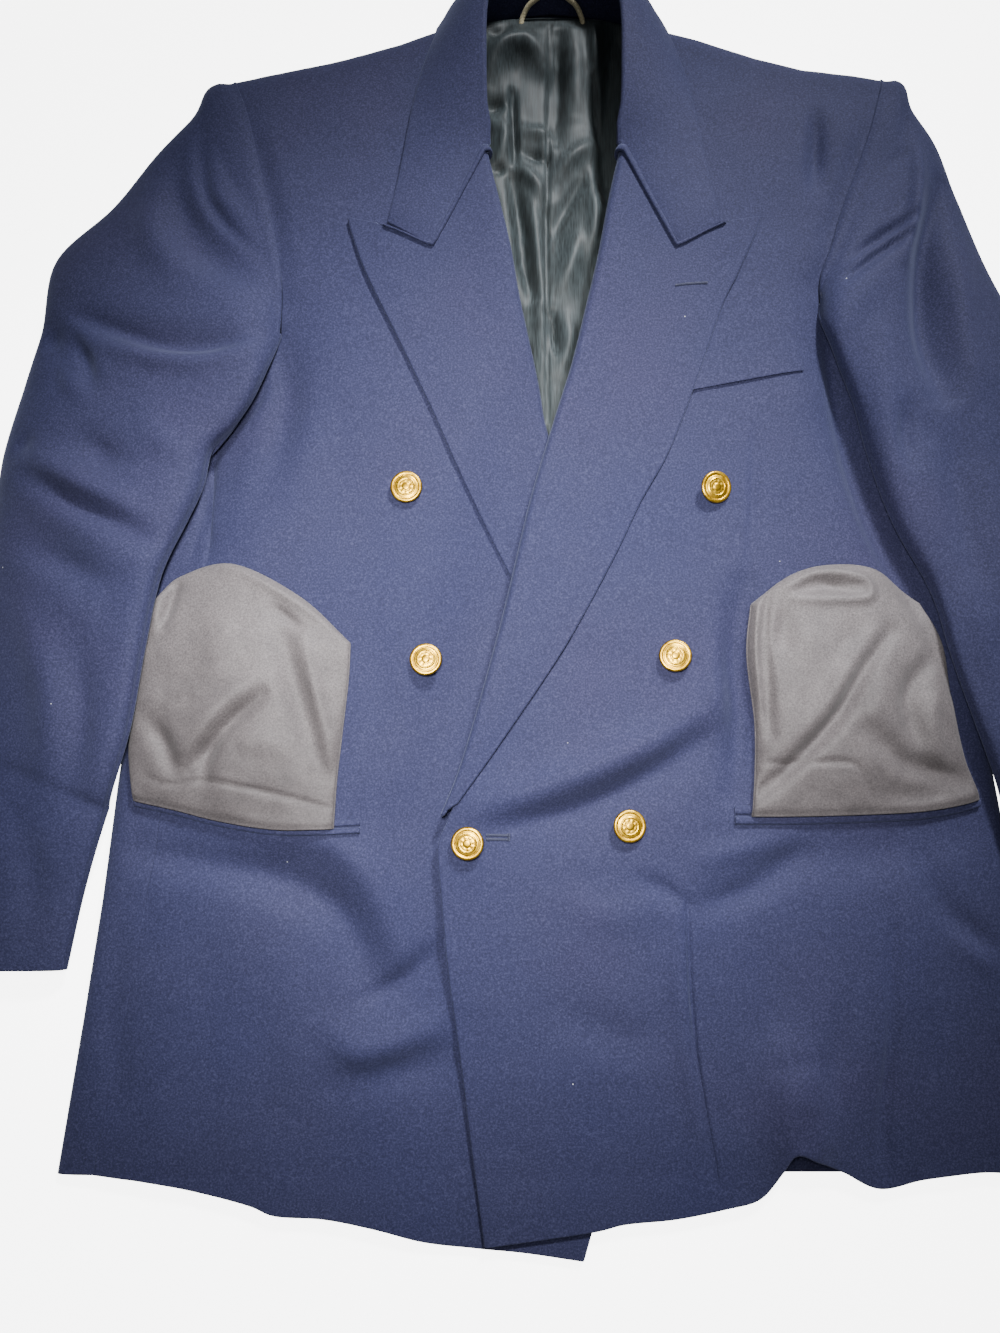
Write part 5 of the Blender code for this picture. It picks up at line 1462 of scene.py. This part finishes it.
# Materials
class Nodes:
    """Builds one material's node tree with short calls."""

    def __init__(self, name):
        self.material = bpy.data.materials.new(name)
        self.material.use_nodes = True
        self.tree = self.material.node_tree
        self.shader = self.tree.nodes["Principled BSDF"]
        self.place = self.add("ShaderNodeTexCoord").outputs["Object"]

    def add(self, kind, **settings):
        node = self.tree.nodes.new(kind)
        for key, value in settings.items():
            setattr(node, key, value)
        return node

    def link(self, source, target):
        self.tree.links.new(source, target)

    def mapped(self, turn=0.0, stretch=(1, 1, 1)):
        node = self.add("ShaderNodeMapping")
        node.inputs["Rotation"].default_value = (0, 0, math.radians(turn))
        node.inputs["Scale"].default_value = stretch
        self.link(self.place, node.inputs["Vector"])
        return node.outputs["Vector"]

    def noise(self, scale, detail=2.0, place=None, roughness=0.5):
        node = self.add("ShaderNodeTexNoise")
        node.inputs["Scale"].default_value = scale
        node.inputs["Detail"].default_value = detail
        node.inputs["Roughness"].default_value = roughness
        self.link(place or self.place, node.inputs["Vector"])
        return node.outputs["Fac"]

    def math(self, operation, a, b=None, c=None):
        node = self.add("ShaderNodeMath", operation=operation)
        for socket, value in zip(node.inputs, (a, b, c)):
            if value is None:
                continue
            if isinstance(value, (int, float)):
                socket.default_value = value
            else:
                self.link(value, socket)
        return node.outputs["Value"]

    def ramp(self, source, *stops):
        node = self.add("ShaderNodeValToRGB")
        ramp = node.color_ramp
        while len(ramp.elements) < len(stops):
            ramp.elements.new(0.5)
        for element, (position, colour) in zip(ramp.elements, stops):
            element.position = position
            element.color = (*colour, 1) if len(colour) == 3 else colour
        self.link(source, node.inputs["Fac"])
        return node.outputs["Color"]

    def mix(self, share, a, b, blend="MIX"):
        node = self.add("ShaderNodeMix", data_type="RGBA", blend_type=blend)
        for socket, value in ((node.inputs["Factor"], share), (node.inputs[6], a), (node.inputs[7], b)):
            if isinstance(value, (int, float)):
                socket.default_value = value
            elif isinstance(value, tuple):
                socket.default_value = (*value, 1)
            else:
                self.link(value, socket)
        return node.outputs[2]

    def weave(self, pitch, turn=0.0, lean=0.0):
        """Threads that pass over and under one another: 0 between them and 1 on their crowns."""
        parts = self.add("ShaderNodeSeparateXYZ")
        self.link(self.mapped(turn), parts.inputs["Vector"])
        per_metre = math.pi / (pitch * MM)
        over = self.math("SINE", self.math("MULTIPLY", parts.outputs["X"], per_metre))
        along = self.math("MULTIPLY_ADD", parts.outputs["X"], per_metre * lean,
                          self.math("MULTIPLY", parts.outputs["Y"], per_metre))
        return self.math("ABSOLUTE", self.math("MULTIPLY", over, self.math("SINE", along)))

    def bump(self, height, strength, distance, before=None):
        node = self.add("ShaderNodeBump")
        node.inputs["Strength"].default_value = strength
        node.inputs["Distance"].default_value = distance * MM
        self.link(height, node.inputs["Height"])
        if before is not None:
            self.link(before, node.inputs["Normal"])
        return node.outputs["Normal"]

    def finish(self, colour, roughness, normal=None, **sockets):
        if isinstance(colour, tuple):
            self.shader.inputs["Base Color"].default_value = (*colour, 1)
        else:
            self.link(colour, self.shader.inputs["Base Color"])
        if isinstance(roughness, (int, float)):
            self.shader.inputs["Roughness"].default_value = roughness
        else:
            self.link(roughness, self.shader.inputs["Roughness"])
        if normal is not None:
            self.link(normal, self.shader.inputs["Normal"])
        for key, value in sockets.items():
            self.shader.inputs[key.replace("_", " ")].default_value = value
        return self.material


def wool_material(name, turn=0.0):
    """Navy worsted: two blue yarns, faint slubs, cloudy patches, a lighter worn grain and specks of lint."""
    n = Nodes(name)
    weave = n.weave(WOOL_PITCH, turn)
    grain = n.noise(820, 3.0, roughness=0.7)
    fine = n.noise(2300, 1.0)
    slub = n.noise(260, 2.0, n.mapped(turn, (3.2, 0.35, 1)))
    cloud = n.noise(7.5, 3.0)
    yarn = n.ramp(grain, (0.30, NAVY_DARK), (0.50, NAVY_MID), (0.72, NAVY_LIGHT))
    yarn = n.mix(n.math("MULTIPLY", fine, 0.35), yarn, NAVY_LIGHT)
    yarn = n.mix(n.math("MULTIPLY_ADD", weave, -0.30, 0.22), yarn, NAVY_DARK)
    yarn = n.mix(n.math("MULTIPLY", slub, 0.18), yarn, NAVY_SLUB)
    tone = n.ramp(cloud, (0.30, (0.90, 0.93, 1.0)), (0.55, (1, 1, 1)), (0.75, (1.07, 1.0, 1.0)))
    yarn = n.mix(1.0, yarn, tone, "MULTIPLY")
    cell = n.add("ShaderNodeTexVoronoi")
    cell.inputs["Scale"].default_value = 42
    n.link(n.place, cell.inputs["Vector"])
    keep = n.math("GREATER_THAN", cell.outputs["Color"], 0.62)
    speck = n.math("MULTIPLY", n.math("LESS_THAN", cell.outputs["Distance"], 0.020), keep)
    colour = n.mix(n.math("MULTIPLY", speck, 0.55), yarn, LINT)
    rough = n.math("MULTIPLY_ADD", grain, 0.12, 0.70)
    height = n.math("ADD", n.math("MULTIPLY", weave, 0.6), n.math("MULTIPLY", grain, 0.7))
    normal = n.bump(height, 0.35, 0.16, n.bump(n.noise(95, 3.0), 0.25, 0.5))
    return n.finish(colour, rough, normal, Sheen_Weight=0.14, Sheen_Roughness=0.45,
                    Sheen_Tint=(0.60, 0.68, 1.0, 1), Specular_IOR_Level=0.18)


def satin_material():
    """Grey-green lining satin: a smooth face with long floats, so that its folds catch the light."""
    n = Nodes("lining_satin_finish")
    rib = n.weave(SATIN_PITCH, 0.0, 0.5)
    streak = n.noise(300, 2.0, n.mapped(0.0, (4, 0.25, 1)))
    cloud = n.noise(24, 2.0)
    colour = n.ramp(streak, (0.3, SATIN_DARK), (0.7, SATIN_LIGHT))
    colour = n.mix(n.math("MULTIPLY", cloud, 0.35), colour, SATIN_WARM)
    colour = n.mix(n.math("MULTIPLY", rib, 0.12), colour, SATIN_DARK)
    rough = n.math("MULTIPLY_ADD", streak, 0.08, 0.56)
    normal = n.bump(n.math("ADD", streak, n.math("MULTIPLY", rib, 0.2)), 0.10, 0.08)
    return n.finish(colour, rough, normal, Specular_IOR_Level=0.38, Anisotropic=0.3,
                    Sheen_Weight=0.05, Sheen_Roughness=0.3)


def cotton_material():
    """Plain grey pocketing with a fine twill; painted shade in the hollows of its crease bump, painted light
    on its raised parts, and painted shade that grows darker towards the bottom.
    """
    n = Nodes("pocketing_finish")
    twill = n.weave(TWILL_PITCH, 0.0, 1.0)
    fleck = n.noise(900, 3.0, roughness=0.7)
    crease = n.noise(60, 4.0, roughness=0.6)
    colour = n.ramp(fleck, (0.3, COTTON_DARK), (0.7, COTTON_LIGHT))
    colour = n.mix(n.math("MULTIPLY", twill, 0.16), colour, COTTON_DARK)
    # Painted shade and light: the crease noise that bumps the cloth also darkens its hollows and lightens
    # its crowns
    tone = n.ramp(crease, (0.3, (0.90, 0.89, 0.90)), (0.7, (1.06, 1.04, 1.04)))
    colour = n.mix(1.0, colour, tone, "MULTIPLY")
    parts = n.add("ShaderNodeSeparateXYZ")
    n.link(n.place, parts.inputs["Vector"])
    upward = n.math("MULTIPLY_ADD", parts.outputs["Y"], 1 / (BAG_LENGTH * MM), -BAG_FOOT / BAG_LENGTH)
    # Painted shade: the pocketing gets darker towards the bottom and in the crease noise's hollows, through
    # the ramp below
    painted_shade_share = n.math("MULTIPLY_ADD", crease, 0.4, upward)
    worn = n.ramp(painted_shade_share, (0.25, (0.62, 0.60, 0.60)), (1.0, (1.08, 1.07, 1.07)))
    colour = n.mix(1.0, colour, worn, "MULTIPLY")
    height = n.math("ADD", n.math("MULTIPLY", twill, 0.5), fleck)
    normal = n.bump(height, 0.3, 0.12, n.bump(crease, 0.35, 0.7))
    return n.finish(colour, 0.62, normal, Sheen_Weight=0.10, Specular_IOR_Level=0.40)


def brass_material():
    """Gilt brass: brighter where it is rubbed, browner where it is tarnished, with fine scratches."""
    n = Nodes("brass_finish")
    tarnish = n.noise(420, 4.0, roughness=0.65)
    scratch = n.noise(1500, 2.0, n.mapped(35, (1, 0.12, 1)))
    colour = n.ramp(tarnish, (0.30, GILT_DARK), (0.55, GILT), (0.75, GILT_LIGHT))
    rough = n.math("ADD", n.math("MULTIPLY", tarnish, 0.16), n.math("MULTIPLY_ADD", scratch, 0.08, 0.26))
    return n.finish(colour, rough, n.bump(scratch, 0.08, 0.02), Metallic=1.0)


def cord_material():
    n = Nodes("loop_cord_finish")
    yarn = n.noise(1400, 2.0, n.mapped(20, (1, 0.3, 1)))
    colour = n.ramp(yarn, (0.3, CORD_DARK), (0.7, CORD_LIGHT))
    return n.finish(colour, 0.5, n.bump(yarn, 0.3, 0.1), Sheen_Weight=0.2)


def thread_material(name, colour):
    n = Nodes(name)
    yarn = n.noise(3000, 1.0)
    shade = n.ramp(yarn, (0.3, tuple(0.7 * c for c in colour)), (0.7, tuple(1.25 * c for c in colour)))
    return n.finish(shade, 0.55, n.bump(yarn, 0.2, 0.05), Sheen_Weight=0.1)


# Studio
def studio():
    mesh = bpy.data.meshes.new("studio_floor")
    corners = [(-FLOOR_HALF, -FLOOR_HALF), (FLOOR_HALF, -FLOOR_HALF), (FLOOR_HALF, FLOOR_HALF),
               (-FLOOR_HALF, FLOOR_HALF)]
    mesh.from_pydata([(x, y, FLOOR_Z) for x, y in corners], [], [(0, 1, 2, 3)])
    floor = bpy.data.objects.new("studio_floor", mesh)
    bpy.context.scene.collection.objects.link(floor)
    n = Nodes("floor_paint")
    colour = n.ramp(n.noise(3.0, 2.0), (0.3, (0.86, 0.86, 0.86)), (0.7, (0.88, 0.88, 0.88)))
    seen = n.add("ShaderNodeLightPath").outputs["Is Camera Ray"]
    n.link(n.math("MULTIPLY", seen, FLOOR_GLOW), n.shader.inputs["Emission Strength"])
    n.shader.inputs["Emission Color"].default_value = (1, 1, 1, 1)
    mesh.materials.append(n.finish(colour, 0.75, Specular_IOR_Level=0.2))
    world = bpy.data.worlds.new("studio_sky")
    world.use_nodes = True
    background = world.node_tree.nodes["Background"]
    background.inputs["Color"].default_value = (0.96, 0.98, 1.0, 1)
    background.inputs["Strength"].default_value = SKY
    bpy.context.scene.world = world
    for row in LAMPS:
        light = bpy.data.lights.new(row.name, "SPOT")
        light.shadow_soft_size = row.size
        light.spot_size = math.radians(row.cone)
        light.spot_blend = 1.0
        light.energy = row.power
        light.color = row.colour
        lamp = bpy.data.objects.new(row.name, light)
        lamp.location = row.place
        aim = Vector(row.target) - Vector(row.place)
        lamp.rotation_euler = aim.to_track_quat("-Z", "Y").to_euler()
        bpy.context.scene.collection.objects.link(lamp)


def camera():
    data = bpy.data.cameras.new("photo_view")
    data.sensor_fit = "VERTICAL"
    data.sensor_height = SENSOR_HEIGHT
    data.lens = LENS
    data.clip_start = 0.01
    view = bpy.data.objects.new("photo_view", data)
    view.location = CAMERA_PLACE
    view.rotation_euler = (math.radians(CAMERA_TILT), 0, 0)
    bpy.context.scene.collection.objects.link(view)
    bpy.context.scene.camera = view


def main():
    camera()
    studio()
    wool = wool_material("navy_wool_body")
    satin = satin_material()
    cotton = cotton_material()
    brass = brass_material()
    thread = thread_material("buttonhole_thread", THREAD_NAVY)
    for side in ("right", "left"):
        tilt = sign_of(side)
        sleeve_wool = wool_material(f"navy_wool_sleeve_{side}", -tilt * 20)
        lapel_wool = wool_material(f"navy_wool_lapel_{side}", tilt * 9)
        back_piece, back_grid = back(side, wool, satin)
        laid(back_piece)
        side_piece, side_grid = side_panel(side, wool, satin)
        laid(side_piece)
        front_piece, front_grid = front(side, wool, satin)
        trim = [pocket_jet(side, edge, wool) for edge in ("lower", "upper")]
        if side == "left":
            trim += [breast_welt(wool), *buttonholes(thread)]
        laid(front_piece)
        lapel(side, lapel_wool)
        sleeve(side, sleeve_wool, satin)
        pocket_bag(side, cotton)
    back_lining(satin)
    collar(wool)
    for row in BUTTONS:
        button(row, brass)
    hang_loop(cord_material())


main()
